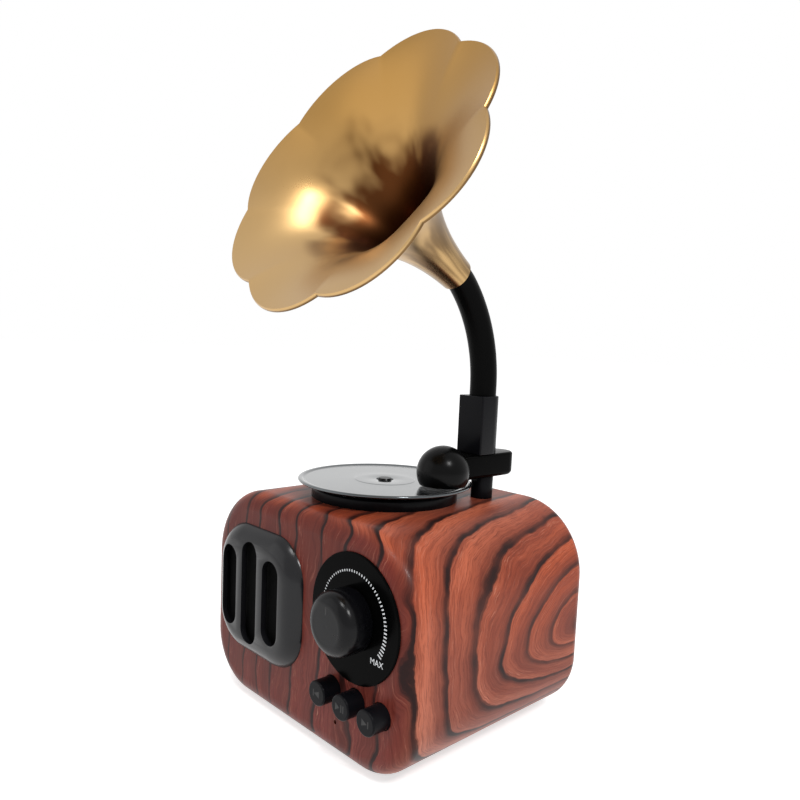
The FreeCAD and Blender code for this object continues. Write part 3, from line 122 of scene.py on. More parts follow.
class Nodes:
    """A short way to build one material's node tree."""

    def __init__(self, name):
        self.material = bpy.data.materials.new(name)
        self.material.use_nodes = True
        self.tree = self.material.node_tree
        self.shader = self.tree.nodes["Principled BSDF"]

    def add(self, kind, **inputs):
        """Add a node. Inputs are matched by position (i0, i1 and so on) or by socket name."""
        node = self.tree.nodes.new("ShaderNode" + kind)
        for key, value in inputs.items():
            if key.startswith("set_"):
                setattr(node, key[4:], value)
        for key, value in inputs.items():
            if key.startswith("set_"):
                continue
            if key[0] == "i" and key[1:].isdigit():
                socket = node.inputs[int(key[1:])]
            else:
                socket = node.inputs[key.replace("_", " ")]
            self.feed(socket, value)
        return node

    def feed(self, socket, value):
        """Link an output to a socket, or set the socket's value."""
        if hasattr(value, "is_output"):
            self.tree.links.new(value, socket)
        else:
            socket.default_value = value

    def math(self, operation, *values):
        node = self.tree.nodes.new("ShaderNodeMath")
        node.operation = operation
        for socket, value in zip(node.inputs, values):
            self.feed(socket, value)
        return node.outputs[0]

    def plus(self, first, second):
        return self.math("ADD", first, second)

    def minus(self, first, second):
        return self.math("SUBTRACT", first, second)

    def times(self, first, second):
        return self.math("MULTIPLY", first, second)

    def over(self, first, second):
        return self.math("DIVIDE", first, second)

    def larger(self, first, second):
        return self.math("MAXIMUM", first, second)

    def mix(self, amount, low, high):
        """Blend two colours."""
        node = self.tree.nodes.new("ShaderNodeMix")
        node.data_type = "RGBA"
        self.feed(node.inputs[0], amount)
        self.feed(node.inputs[6], low)
        self.feed(node.inputs[7], high)
        return node.outputs[2]

    def blend(self, amount, low, high):
        """Blend two numbers."""
        node = self.tree.nodes.new("ShaderNodeMix")
        self.feed(node.inputs[0], amount)
        self.feed(node.inputs[2], low)
        self.feed(node.inputs[3], high)
        return node.outputs[0]

    def span(self, value, low, high, out_low=0.0, out_high=1.0):
        """Map a range of a number to another, with soft ends."""
        node = self.tree.nodes.new("ShaderNodeMapRange")
        node.interpolation_type = "SMOOTHSTEP"
        for socket, amount in zip(node.inputs, (value, low, high, out_low, out_high)):
            self.feed(socket, amount)
        return node.outputs[0]

    def noise(self, vector, scale, detail=2.0, roughness=0.5):
        """Noise from 0 to 1; the scale is in steps to the vector's own unit."""
        node = self.add("TexNoise", Vector=vector, Scale=scale, Detail=detail, Roughness=roughness)
        return node.outputs[0]

    def place(self):
        """X, Y and Z in millimetres, and the same as one vector in metres."""
        vector = self.tree.nodes.new("ShaderNodeTexCoord").outputs["Object"]
        parts = self.add("SeparateXYZ", i0=vector)
        return [self.times(out, 1 / MM) for out in parts.outputs] + [vector]

    def around(self, noise, size):
        """Turn noise about 0.5 into noise about 0 that is size high."""
        return self.times(self.minus(noise, 0.5), size)

    def vector(self, x, y, z):
        return self.add("CombineXYZ", i0=x, i1=y, i2=z).outputs[0]

    def bump(self, height, strength, distance):
        """Relief on the shader's normal, its distance in metres."""
        node = self.add("Bump", Strength=strength, Distance=distance, Height=height)
        self.tree.links.new(node.outputs[0], self.shader.inputs["Normal"])

    def set(self, **inputs):
        """Feed the shader's sockets by name and give the finished material."""
        for key, value in inputs.items():
            self.feed(self.shader.inputs[key.replace("_", " ")], value)
        return self.material


# ---------------------------------------------------------------- wood print, lengths in mm

EDGE_RADIUS = 23.8
RING_PITCH = 13.0
RING_START = 3.0
# An arch's centre is below the edge's start, and lean slopes its top down towards the front.
ARCH = {"below_edge": 16.0, "lean": 0.2, "upper_stretch": 1.38, "lower_stretch": 3.0, "size": 50.0,
        "square_power": 6.0, "round_power": 2.4}
EYE = {"y": 14.0, "z": 30.0, "half_width": 34.0, "half_height": 22.0, "height": 46.0}
FRONT_LINES = {"at_middle": 130.0, "left_extra": 0.38, "sway": 15.0}
WOOD = {
    "side_deep": (0.40, 0.070, 0.024, 1),
    "side_light": (0.56, 0.150, 0.080, 1),
    # painted floor reflection: a paler tone for the low part of the sides
    "side_painted_floor_light": (0.42, 0.165, 0.115, 1),
    "front_deep": (0.10, 0.012, 0.008, 1),
    "front_light": (0.21, 0.040, 0.032, 1),
    "brown_ring": (0.17, 0.03, 0.018, 1),
    "shade": (0.12, 0.026, 0.018, 1),
    "dark_fibre": (0.085, 0.015, 0.011, 1),
    "pale_fibre": (0.52, 0.20, 0.135, 1),
    "pale_streak": (0.60, 0.26, 0.17, 1),
    "line": (0.014, 0.006, 0.006, 1),
}


def run_over_edge(n, x, z):
    """Distance up the right side, over the rounded edge and across the top, 0 where the edge starts."""
    edge_x = CABINET_HIGH.x / MM - EDGE_RADIUS
    edge_z = CABINET_HIGH.z / MM - EDGE_RADIUS
    over_x = n.larger(n.minus(x, edge_x), 0.0)
    over_z = n.larger(n.minus(z, edge_z), 0.0)
    angle = n.math("ARCTAN2", over_z, n.larger(over_x, 0.001))
    below = n.math("MINIMUM", n.minus(z, edge_z), 0.0)
    right_half = n.span(x, 0.0, 20.0)
    across_top = n.larger(n.minus(edge_x, x), 0.0)
    return n.plus(n.plus(n.times(angle, EDGE_RADIUS), n.times(below, right_half)), across_top)


def left_eye(n, x, y, z):
    """A hill on the left side that bends the arches into nested rings."""
    across = n.over(n.minus(y, EYE["y"]), EYE["half_width"])
    up = n.over(n.minus(z, EYE["z"]), EYE["half_height"])
    distance = n.plus(n.times(across, across), n.times(up, up))
    hill = n.times(n.math("EXPONENT", n.times(distance, -1.0)), EYE["height"])
    left_side = n.span(x, -34.0, -50.0)
    return n.times(hill, left_side)


def side_arches(n, x, y, z):
    """Nested arches that open to the back, square outside and rounder within."""
    run = run_over_edge(n, x, z)
    depth = n.minus(CABINET_HIGH.y / MM + 1.0, y)
    lifted = n.plus(n.plus(run, n.times(depth, ARCH["lean"])), ARCH["below_edge"])
    upper = n.times(n.larger(lifted, 0.0), ARCH["upper_stretch"])
    sunk = n.times(n.plus(run, ARCH["below_edge"]), -1.0)
    lower = n.times(n.larger(sunk, 0.0), ARCH["lower_stretch"])
    reach = n.larger(upper, lower)
    arches = []
    for power in (ARCH["square_power"], ARCH["round_power"]):
        parts = [n.math("POWER", n.over(way, ARCH["size"]), power) for way in (depth, reach)]
        arches.append(n.times(n.math("POWER", n.plus(*parts), 1.0 / power), ARCH["size"]))
    square, rounded = arches
    arch = n.blend(n.span(square, 30.0, 66.0), rounded, square)
    return n.minus(arch, left_eye(n, x, y, z))


def front_lines(n, x, z):
    """Upright lines that sway, and stand closer together on the left."""
    right_run = n.minus(FRONT_LINES["at_middle"], x)
    left_run = n.times(n.larger(n.times(x, -1.0), 0.0), FRONT_LINES["left_extra"])
    bend = n.noise(n.vector(x, 0.0, n.times(z, 0.6)), 0.06)
    return n.plus(n.plus(right_run, left_run), n.around(bend, FRONT_LINES["sway"]))


def ring_noise(n, ring, across, along, detail, roughness):
    """Noise drawn out along the rings, with its own scale across them and along y and z."""
    field, y, z = ring
    stretched = n.vector(n.times(field, across), n.times(y, along[0]), n.times(z, along[1]))
    return n.noise(stretched, 1.0, detail, roughness)


def wood_print():
    """Lacquered wood print: upright lines on the front, nested arches on the sides."""
    n = Nodes("wood_print")
    x, y, z, place = n.place()
    normal = n.add("SeparateXYZ", i0=n.tree.nodes.new("ShaderNodeNewGeometry").outputs["Normal"])
    facing = n.math("ABSOLUTE", normal.outputs[1])
    ahead = n.span(facing, 0.4, 0.95)

    arch = side_arches(n, x, y, z)
    field = n.blend(n.span(facing, 0.25, 0.95), arch, front_lines(n, x, z))
    wander = n.around(n.noise(place, 26.0, 3.0), 11.0)
    ragged = n.around(n.noise(place, 150.0, 3.0), 2.4)
    field = n.plus(field, n.plus(wander, ragged))
    ring = (field, y, z)

    # one dark line to a ring, sharp on one side and fading on the other
    fine = ring_noise(n, ring, 1.6, (0.1, 0.1), 4.0, 0.65)
    phase = n.math("FRACT", n.over(n.minus(field, RING_START), RING_PITCH))
    phase = n.plus(phase, n.around(fine, 0.12))
    fading = n.span(phase, n.blend(ahead, 0.25, 0.13), n.blend(ahead, 0.05, 0.03))
    line = n.larger(fading, n.span(phase, 0.93, 0.985))
    patchy = n.span(n.noise(place, 60.0, 2.0), 0.3, 0.6, 0.55, 0.97)
    line = n.times(line, n.times(patchy, n.span(arch, 10.0, 48.0, 0.6, 1.0)))
    shade = n.span(phase, 0.75, 0.1)

    # fibres and streaks that follow the rings
    streak = ring_noise(n, ring, 3.4, (0.22, 0.22), 3.0, 0.6)
    fibre = ring_noise(n, ring, 1.3, (0.05, 0.05), 5.0, 0.7)
    brown = ring_noise(n, ring, 0.11, (0.012, 0.02), 3.0, 0.6)
    beside_line = n.times(n.span(phase, 0.5, 0.9), n.span(phase, 0.96, 0.9))
    pale_streak = n.times(n.span(streak, 0.56, 0.72), beside_line)

    tone = n.span(n.noise(place, 14.0, 2.0), 0.35, 0.65)
    side = n.mix(tone, WOOD["side_deep"], WOOD["side_light"])
    # painted floor reflection: the sides grow paler towards the foot
    side = n.mix(n.times(n.span(z, 50.0, 12.0), 0.55), side, WOOD["side_painted_floor_light"])
    base = n.mix(ahead, side, n.mix(tone, WOOD["front_deep"], WOOD["front_light"]))
    layers = (
        (n.span(brown, 0.6, 0.36, 0.0, 0.6), "brown_ring"),
        (n.times(shade, 0.66), "shade"),
        (n.times(n.span(fibre, 0.52, 0.38), n.blend(ahead, 0.32, 0.65)), "dark_fibre"),
        (n.times(n.span(fibre, 0.55, 0.72), n.blend(ahead, 0.3, 0.4)), "pale_fibre"),
        (n.times(n.span(streak, 0.5, 0.34), 0.5), "shade"),
        (n.times(pale_streak, 0.6), "pale_streak"),
        (line, "line"),
    )
    for amount, colour in layers:
        base = n.mix(amount, base, WOOD[colour])
    n.bump(fine, 0.06, 0.1 * MM)
    return n.set(Base_Color=base, Roughness=0.36, Specular_IOR_Level=0.1,
                 Coat_Weight=0.03, Coat_Roughness=0.08)


# ---------------------------------------------------------------- other materials

def black_plastic(name, colour, roughness, shine, grain=900.0, depth=0.06):
    """Moulded black plastic with a faint orange peel and small changes of gloss."""
    n = Nodes(name)
    place = n.place()[3]
    peel = n.noise(place, grain, 2.0)
    wear = n.noise(place, 60.0, 4.0)
    n.bump(peel, depth, 0.05 * MM)
    tint = n.mix(wear, (*colour, 1), (*[c * 1.5 for c in colour], 1))
    rough = n.span(wear, 0.3, 0.7, roughness * 0.85, roughness * 1.2)
    return n.set(Base_Color=tint, Roughness=rough, Specular_IOR_Level=shine)


def disc_lacquer():
    """Polished black disc with a clear coat and a faint cool sheen."""
    n = Nodes("disc_black")
    place = n.place()[3]
    wear = n.noise(place, 40.0, 4.0)
    tint = n.mix(wear, (0.006, 0.007, 0.008, 1), (0.010, 0.012, 0.014, 1))
    rough = n.span(wear, 0.3, 0.7, 0.10, 0.16)
    n.bump(n.noise(place, 300.0, 2.0), 0.02, 0.05 * MM)
    return n.set(Base_Color=tint, Roughness=rough, Specular_IOR_Level=0.9,
                 Specular_Tint=(0.82, 0.94, 1.0, 1), Coat_Weight=0.7, Coat_Roughness=0.08)


GOLD = {
    "deep": (0.33, 0.178, 0.048, 1),
    "light": (0.39, 0.22, 0.066, 1),
    # painted floor reflection: a paler gold for the low part of the bell
    "lower": (0.50, 0.325, 0.145, 1),
    # painted shade and dark reflection deep in the throat
    "throat": (0.055, 0.012, 0.002, 1),
    # painted dark reflection for the outside of the stem
    "stem": (0.10, 0.055, 0.022, 1),
    "lip": (0.09, 0.045, 0.018, 1),
}


def gold_lacquer():
    """Satin gold lacquer on spun metal with a brown lip, and painted light: painted shade and dark
    reflection streaks in the throat and on the stem, and a paler lower bell as painted floor reflection.
    """
    n = Nodes("horn_gold")
    place = n.place()[3]
    cloud = n.noise(place, 30.0, 4.0)
    speck = n.noise(place, 2600.0, 2.0)
    n.bump(speck, 0.12, 0.04 * MM)
    normal = n.tree.nodes.new("ShaderNodeTexCoord").outputs["Normal"]
    along = n.add("VectorMath", set_operation="DOT_PRODUCT", i0=normal, i1=BELL_AXIS).outputs["Value"]
    from_throat = n.add("VectorMath", set_operation="SUBTRACT", i0=place, i1=THROAT).outputs[0]
    reach = n.add("VectorMath", set_operation="DOT_PRODUCT", i0=from_throat, i1=BELL_AXIS).outputs["Value"]
    inside = n.span(along, -0.05, 0.05)
    # streaks that follow the way the surface faces, for the painted reflections below
    painted_reflection_streaks = n.noise(normal, 2.6, 2.0)

    colour = n.mix(cloud, GOLD["deep"], GOLD["light"])
    height = n.add("SeparateXYZ", i0=place).outputs[2]
    # painted floor reflection: paler gold towards the bottom of the bell
    colour = n.mix(n.span(height, 200 * MM, 145 * MM), colour, GOLD["lower"])
    # painted shade and dark reflection inside the bell, deeper towards the throat and streaked by the way
    # the surface faces
    painted_throat_shade = n.plus(n.span(reach, 52 * MM, 26 * MM), n.around(painted_reflection_streaks, 1.6))
    painted_throat_shade = n.times(n.times(n.span(painted_throat_shade, 0.15, 0.85), inside), n.span(reach, 51.2 * MM, 44 * MM))
    colour = n.mix(n.times(painted_throat_shade, 0.95), colour, GOLD["throat"])
    # painted dark reflection streaks on the outside of the bell near the throat
    stem = n.times(n.minus(1.0, inside), n.span(reach, 45 * MM, 20 * MM))
    colour = n.mix(n.times(stem, n.span(painted_reflection_streaks, 0.3, 0.62, 0.1, 0.8)), colour, GOLD["stem"])
    lip = n.times(n.span(along, 0.45, 0.15), n.span(reach, 48.5 * MM, 51 * MM))
    colour = n.mix(n.times(lip, 0.8), colour, GOLD["lip"])
    rough = n.span(n.plus(cloud, n.times(speck, 0.15)), 0.3, 0.8, 0.26, 0.36)
    return n.set(Base_Color=colour, Metallic=1.0, Roughness=rough)


def metal(name, colour, roughness):
    """Brushed metal."""
    n = Nodes(name)
    place = n.place()[3]
    brushed = n.noise(place, 700.0, 3.0)
    n.bump(brushed, 0.1, 0.03 * MM)
    rough = n.span(brushed, 0.3, 0.7, roughness * 0.8, roughness * 1.25)
    return n.set(Base_Color=(*colour, 1), Metallic=1.0, Roughness=rough)


def plain(name, colour, roughness, grain=400.0, strength=0.2):
    """Mottled matt stuff: rubber, board, paper, print."""
    n = Nodes(name)
    place = n.place()[3]
    mottled = n.noise(place, grain, 4.0)
    n.bump(mottled, strength, 0.1 * MM)
    tint = n.mix(mottled, (*[c * 0.8 for c in colour], 1), (*[min(1.0, c * 1.2) for c in colour], 1))
    return n.set(Base_Color=tint, Roughness=roughness)


def woven_cloth():
    """Fine black weave behind the grille."""
    n = Nodes("mesh_cloth")
    x, _, z, _ = n.place()
    thread_pitch = 0.55
    warp, weft = (n.math("SINE", n.times(way, 2 * math.pi / thread_pitch)) for way in (x, z))
    n.bump(n.times(warp, weft), 0.7, 0.15 * MM)
    return n.set(Base_Color=(0.003, 0.003, 0.003, 1), Roughness=0.95, Specular_IOR_Level=0.1)


MATERIALS = {
    "wood_print": wood_print(),
    "black_gloss": black_plastic("black_gloss", (0.001, 0.001, 0.001), 0.18, 0.02),
    "black_satin": black_plastic("black_satin", (0.003, 0.003, 0.004), 0.3, 0.07, grain=1500.0, depth=0.15),
    "tube_black": black_plastic("tube_black", (0.0015, 0.0015, 0.0015), 0.32, 0.03, grain=2200.0, depth=0.1),
    "horn_gold": gold_lacquer(),
    "rubber_pad": plain("rubber_pad", (0.02, 0.02, 0.02), 0.85),
    "mesh_cloth": woven_cloth(),
    "zinc_steel": metal("zinc_steel", (0.56, 0.56, 0.57), 0.32),
    "black_steel": metal("black_steel", (0.05, 0.05, 0.05), 0.42),
    "port_steel": metal("port_steel", (0.62, 0.61, 0.60), 0.28),
    "magnet_ferrite": plain("magnet_ferrite", (0.07, 0.07, 0.075), 0.6),
    "paper_cone": plain("paper_cone", (0.03, 0.03, 0.03), 0.9, 900.0, 0.5),
    "circuit_board": plain("circuit_board", (0.02, 0.13, 0.05), 0.35, 120.0, 0.05),
    "part_black": plain("part_black", (0.02, 0.02, 0.02), 0.5),
    "battery_wrap": plain("battery_wrap", (0.04, 0.12, 0.36), 0.3, 60.0, 0.05),
    # the rear switch's slider is dark, in spite of its slot's name
    "slider_white": plain("slider_white", (0.02, 0.02, 0.02), 0.5),
    "disc_black": disc_lacquer(),
    "ball_black": black_plastic("ball_black", (0.001, 0.001, 0.001), 0.22, 0.1),
    "grille_grey": black_plastic("grille_grey", (0.005, 0.005, 0.006), 0.2, 0.27, grain=1500.0, depth=0.08),
    "knob_black": black_plastic("knob_black", (0.0015, 0.0015, 0.002), 0.24, 0.16, grain=1200.0, depth=0.05),
    "mark_dark": plain("mark_dark", (0.003, 0.003, 0.003), 0.6),
    "print_white": plain("print_white", (0.78, 0.8, 0.82), 0.6, 900.0, 0.05),
}

OWN_LOOK = {"soundbox": "ball_black", "platter_spindle": "knob_black", "speaker_grille": "grille_grey"}


def look_of(node):
    """The material of a node: its own where it has one, and its slot's otherwise."""
    return MATERIALS[OWN_LOOK.get(node, NODE_SLOTS[node])]


for node, thing in frame["nodes"].items():
    thing.data.materials.clear()
    thing.data.materials.append(look_of(node))


# ---------------------------------------------------------------- mesh helpers

def new_piece(name, mesh, look, body, slot, *nodes):
    """Put a mesh in the scene: it rides on a body and may stand for CAD nodes; its slot argument is not
    used.
    """
    piece = bpy.data.objects.new(name, mesh)
    bpy.context.collection.objects.link(piece)
    mesh.materials.clear()
    mesh.materials.append(look)
    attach(piece, body)
    if nodes:
        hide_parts(*nodes)
    return piece


def mesh_from(name, points, faces, sharp=None):
    """A smooth mesh, with hard edges where faces meet at more than a number of degrees."""
    mesh = bpy.data.meshes.new(name)
    mesh.from_pydata([tuple(p) for p in points], [], faces)
    mesh.validate()
    mesh.shade_smooth()
    if sharp:
        mesh.set_sharp_from_angle(angle=math.radians(sharp))
    return mesh


def edit(mesh, change):
    """Run a change on a mesh through bmesh."""
    work = bmesh.new()
    work.from_mesh(mesh)
    change(work)
    work.to_mesh(mesh)
    work.free()


def face_outward(work):
    """Turn every face's normal to the outside."""
    bmesh.ops.recalc_face_normals(work, faces=work.faces)


def merge_flat(work):
    """Weld doubled points and join faces that lie in one plane."""
    bmesh.ops.remove_doubles(work, verts=work.verts, dist=MM / 1000)
    bmesh.ops.dissolve_limit(work, angle_limit=math.radians(0.6), verts=work.verts, edges=work.edges)


def softened(profile, radius, steps):
    """Round the corners of an open profile; each corner's cut is limited by its neighbours."""
    out = [profile[0]]
    for before, corner, after in zip(profile, profile[1:], profile[2:]):
        corner_at = Vector(corner)
        to_before, to_after = Vector(before) - corner_at, Vector(after) - corner_at
        cut = min(radius, to_before.length * 0.45, to_after.length * 0.45)
        start = corner_at + to_before.normalized() * cut
        end = corner_at + to_after.normalized() * cut
        for step in range(steps + 1):
            t = step / steps
            out.append(tuple(start * (1 - t) ** 2 + corner_at * 2 * t * (1 - t) + end * t * t))
    out.append(profile[-1])
    return out


def lathe(name, profile, at, axis, turns):
    """Turn a profile of (radius, height) in mm about an axis; a radius of 0 closes an end."""
    side = axis.orthogonal().normalized()
    other = axis.cross(side)
    points, faces, rings = [], [], []
    for radius, height in profile:
        if radius == 0:
            rings.append([len(points)])
            points.append(at + axis * height * MM)
            continue
        rings.append(list(range(len(points), len(points) + turns)))
        for step in range(turns):
            angle = 2 * math.pi * step / turns
            way = side * math.cos(angle) + other * math.sin(angle)
            points.append(at + (axis * height + way * radius) * MM)
    for low, high in zip(rings, rings[1:]):
        for step in range(turns):
            after = (step + 1) % turns
            around = (low[step % len(low)], low[after % len(low)],
                      high[after % len(high)], high[step % len(high)])
            face = list(dict.fromkeys(around))
            if len(face) > 2:
                faces.append(face)
    return mesh_from(name, points, faces, 40)


def bevelled(node, width):
    """Stand for a CAD node with the same shape, its hard edges rounded a little."""
    name = node + "_soft"
    mesh = frame["nodes"][node].data.copy()
    mesh.name = name
    edit(mesh, merge_flat)
    mesh.shade_smooth()
    piece = new_piece(name, mesh, look_of(node), BODY_OF[node], NODE_SLOTS[node], node)
    edge = piece.modifiers.new("edge", "BEVEL")
    edge.width = width * MM
    edge.segments = 3
    edge.limit_method = "ANGLE"
    edge.angle_limit = math.radians(32)
    edge.harden_normals = True


# ---------------------------------------------------------------- horn bell

def bell_curve(t):
    """Point and outward normal of the bell's outer curve, in mm."""
    weights = ((1 - t) ** 3, 3 * t * (1 - t) ** 2, 3 * t * t * (1 - t), t ** 3)
    slopes = (-3 * (1 - t) ** 2, 3 * (1 - t) * (1 - 3 * t), 3 * t * (2 - 3 * t), 3 * t * t)
    x, r = (sum(w * c[i] for w, c in zip(weights, BELL["curve"])) for i in (0, 1))
    dx, dr = (sum(w * c[i] for w, c in zip(slopes, BELL["curve"])) for i in (0, 1))
    length = math.hypot(dx, dr)
    return x, r, -dr / length, dx / length


def petal_swell(angle, growth):
    """Factor on the radius across a petal: rounded near the throat and creased near the mouth."""
    half = math.pi / BELL["petals"]
    creased = (math.cos(angle) - math.cos(half)) / (1 - math.cos(half))
    rounded = 0.25 + 0.75 * (0.5 + 0.5 * math.cos(math.pi * angle / half))
    crisp = min(1.0, max(0.0, (growth - 0.55) / 0.45)) ** 1.5
    bulge = creased * crisp + rounded * (1 - crisp)
    return 1 + BELL["bulge"] * growth ** 1.6 * bulge


def bell_ring(t, depth, per_petal):
    """Points round the bell: t runs from throat to mouth, depth from its outer to its inner face."""
    x, r, normal_x, normal_r = bell_curve(t)
    thin, thick = BELL["wall"]
    wall = thin + (thick - thin) * min(1.0, 3 * t)
    throat, mouth = BELL["curve"][0][1], BELL["curve"][3][1]
    growth = (r - throat) / (mouth - throat)
    bead, inset = 0.0, 0.0
    if t == 1.0:
        bead, inset = BELL["lip_bead"] * math.sin(math.pi * depth), BELL["lip_inset"]
    at_x = x - depth * wall * normal_x + bead * normal_r - inset
    at_r = r - depth * wall * normal_r - bead * normal_x - inset
    points = []
    for column in range(per_petal * BELL["petals"]):
        angle = math.pi / BELL["petals"] * (2 * (column % per_petal) / per_petal - 1)
        petal_middle = 2 * math.pi * (column // per_petal + 0.5) / BELL["petals"]
        turn = petal_middle + math.radians(BELL["turn"]) + angle
        across = BELL_DOWN * math.cos(turn) + BELL_SIDE * math.sin(turn)
        points.append(THROAT + (BELL_AXIS * at_x + across * at_r * petal_swell(angle, growth)) * MM)
    return points


def build_bell():
    """Spun petals with creases between them, and a rounded lip at the mouth."""
    per_petal, rows, lip_steps = 24, 72, 8
    outside = [(row / (rows - 1), 0.0) for row in range(rows)]
    lip = [(1.0, 0.5 - 0.5 * math.cos(math.pi * step / lip_steps)) for step in range(1, lip_steps)]
    inside = [(t, 1.0) for t, _ in reversed(outside)]
    rings = [bell_ring(t, depth, per_petal) for t, depth in outside + lip + inside]
    points = [point for ring in rings for point in ring]
    columns = per_petal * BELL["petals"]
    faces = []
    for row in range(len(rings)):
        for column in range(columns):
            after, beyond = (column + 1) % columns, (row + 1) % len(rings)
            faces.append((row * columns + column, row * columns + after,
                          beyond * columns + after, beyond * columns + column))
    mesh = mesh_from("horn_bell_spun", points, faces, 28)
    edit(mesh, face_outward)
    new_piece("horn_bell_spun", mesh, MATERIALS["horn_gold"], "horn", "horn_gold", "horn_bell")


# ---------------------------------------------------------------- platter and knob

def build_platter():
    """A pressed disc: thin rim, fine grooves, a smooth lead-out, and a label land."""
    low, high = corners("record_platter")
    at = joint_place("platter_spin")
    radius = (high.x - low.x) / 2 / MM
    top, foot = (high.z - at.z) / MM, (low.z - at.z) / MM
    face = top - 0.45
    hole, hub, web = 1.56, 6.0, 22.0
    groove_end, groove_pitch, groove_depth = 13.4, 0.36, 0.007
    rim = [(hole, face - 0.5), (hole, foot), (hub, foot), (hub, top - 2.0), (web, top - 2.0),
           (radius - 1.2, top - 1.35), (radius, top - 0.75), (radius, top - 0.3),
           (radius - 0.5, top), (radius - 1.4, top - 0.05), (radius - 2.0, face)]
    profile = softened(rim, 0.3, 4)
    groove = radius - 2.6
    while groove > groove_end:
        profile += [(groove, face), (groove - groove_pitch / 4, face - groove_depth),
                    (groove - groove_pitch / 2, face)]
        groove -= groove_pitch
    label = [(13.0, face), (10.3, face), (10.0, face + 0.1), (2.9, face + 0.1),
             (2.8, face - 0.5), (hole, face - 0.5)]
    profile += softened(label, 0.15, 3)
    mesh = lathe("platter_disc", profile, at, Vector((0, 0, 1)), 192)
    slot = NODE_SLOTS["record_platter"]
    new_piece("platter_disc", mesh, MATERIALS["disc_black"], "platter", slot, "record_platter")


def build_knob():
    """Domed-edge knob with a finely turned face and a short dark pointer."""
    low, high = corners("volume_knob")
    place = joint_place("volume_turn")
    at = Vector((place.x, high.y, place.z))
    radius = (high.x - low.x) / 2 / MM
    length = (high.y - low.y) / MM
    shoulder, shoulder_steps = 3.6, 16
    recess_radius, recess_depth = 6.4, 3.0
    line_pitch, line_depth = 0.3, 0.015
    profile = [(0.0, recess_depth), (recess_radius, recess_depth), (recess_radius, 0.0),
               (radius - 0.25, 0.0), (radius, 0.5), (radius, length - shoulder)]
    for step in range(1, shoulder_steps + 1):
        angle = math.pi / 2 * step / shoulder_steps
        inward, forward = shoulder * (1 - math.cos(angle)), shoulder * (1 - math.sin(angle))
        profile.append((radius - inward, length - forward))
    line = radius - shoulder - 0.4
    while line > 0.6:
        profile += [(line, length), (line - line_pitch / 2, length - line_depth)]
        line -= line_pitch
    profile.append((0.0, length))
    mesh = lathe("knob_turned", profile, at, Vector((0, -1, 0)), 160)
    slot = NODE_SLOTS["volume_knob"]
    new_piece("knob_turned", mesh, MATERIALS["knob_black"], "knob", slot, "volume_knob")
    pointer = stroke(at, radius - 3.9, radius - 6.0, 0.0, 0.5)
    prints("knob_pointer", [pointer], low.y - 0.02 * MM, "mark_dark", "knob")


# ---------------------------------------------------------------- printed marks

PRINT_DEPTH = 0.05
DIAL = {"ticks_each_way": 27, "tick_angle": 4.5, "tick_radius": 13.65,
        "word_angle": 131.5, "word_radius": 14.2, "word_size": 2.5}


def stroke(centre, outer, inner, degrees, width):
    """Corners of a radial stroke on the front; degrees run clockwise from the top, lengths in mm."""
    angle = math.radians(degrees)
    along = Vector((math.sin(angle), 0, math.cos(angle)))
    across = Vector((math.cos(angle), 0, -math.sin(angle))) * width / 2 * MM
    far, near = centre + along * outer * MM, centre + along * inner * MM
    return [far - across, far + across, near + across, near - across]


def triangle(centre, flat, tip, half):
    """An arrow head from a flat side to a tip, in mm from a centre."""
    return [centre + Vector((x, 0, z)) * MM for x, z in ((flat, half), (tip, 0), (flat, -half))]


def bar(centre, left, right, half):
    """An upright bar, in mm from a centre."""
    places = ((left, half), (right, half), (right, -half), (left, -half))
    return [centre + Vector((x, 0, z)) * MM for x, z in places]


SIGNS = {
    "button_previous": [(bar, -1.5, -1.1, 1.0), (triangle, 1.3, -0.9, 1.0)],
    "button_play": [(triangle, -1.9, -0.1, 1.1), (bar, 0.4, 0.85, 1.1), (bar, 1.3, 1.75, 1.1)],
    "button_next": [(triangle, -1.3, 0.9, 1.0), (bar, 1.1, 1.5, 1.0)],
}


def prints(name, shapes, front, look, body):
    """Thin raised print: each flat outline becomes a plate that stands on the face behind it."""
    points, faces = [], []
    for shape in shapes:
        start, count = len(points), len(shape)
        for level in (front, front + PRINT_DEPTH * MM):
            points += [Vector((p.x, level, p.z)) for p in shape]
        faces.append(list(range(start, start + count)))
        faces.append(list(range(start + 2 * count - 1, start + count - 1, -1)))
        for step in range(count):
            after = (step + 1) % count
            faces.append((start + step, start + count + step, start + count + after, start + after))
    mesh = mesh_from(name, points, faces)
    edit(mesh, face_outward)
    mesh.shade_flat()
    new_piece(name, mesh, MATERIALS[look], body, None)


def dial_word(word, centre, front, degrees):
    """A word in white print, upright on the dial's ring at an angle from the top."""
    name = "dial_" + word.lower()
    curve = bpy.data.curves.new(name, "FONT")
    curve.body = word
    curve.size = DIAL["word_size"] * MM
    curve.align_x = "CENTER"
    curve.align_y = "CENTER"
    curve.extrude = 0.02 * MM
    text = bpy.data.objects.new(name, curve)
    bpy.context.collection.objects.link(text)
    angle, radius = math.radians(degrees), DIAL["word_radius"] * MM
    text.location = (centre.x + radius * math.sin(angle), front, centre.z + radius * math.cos(angle))
    text.rotation_euler = (math.radians(90), 0, 0)
    text.data.materials.append(MATERIALS["print_white"])
    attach(text, "cabinet")


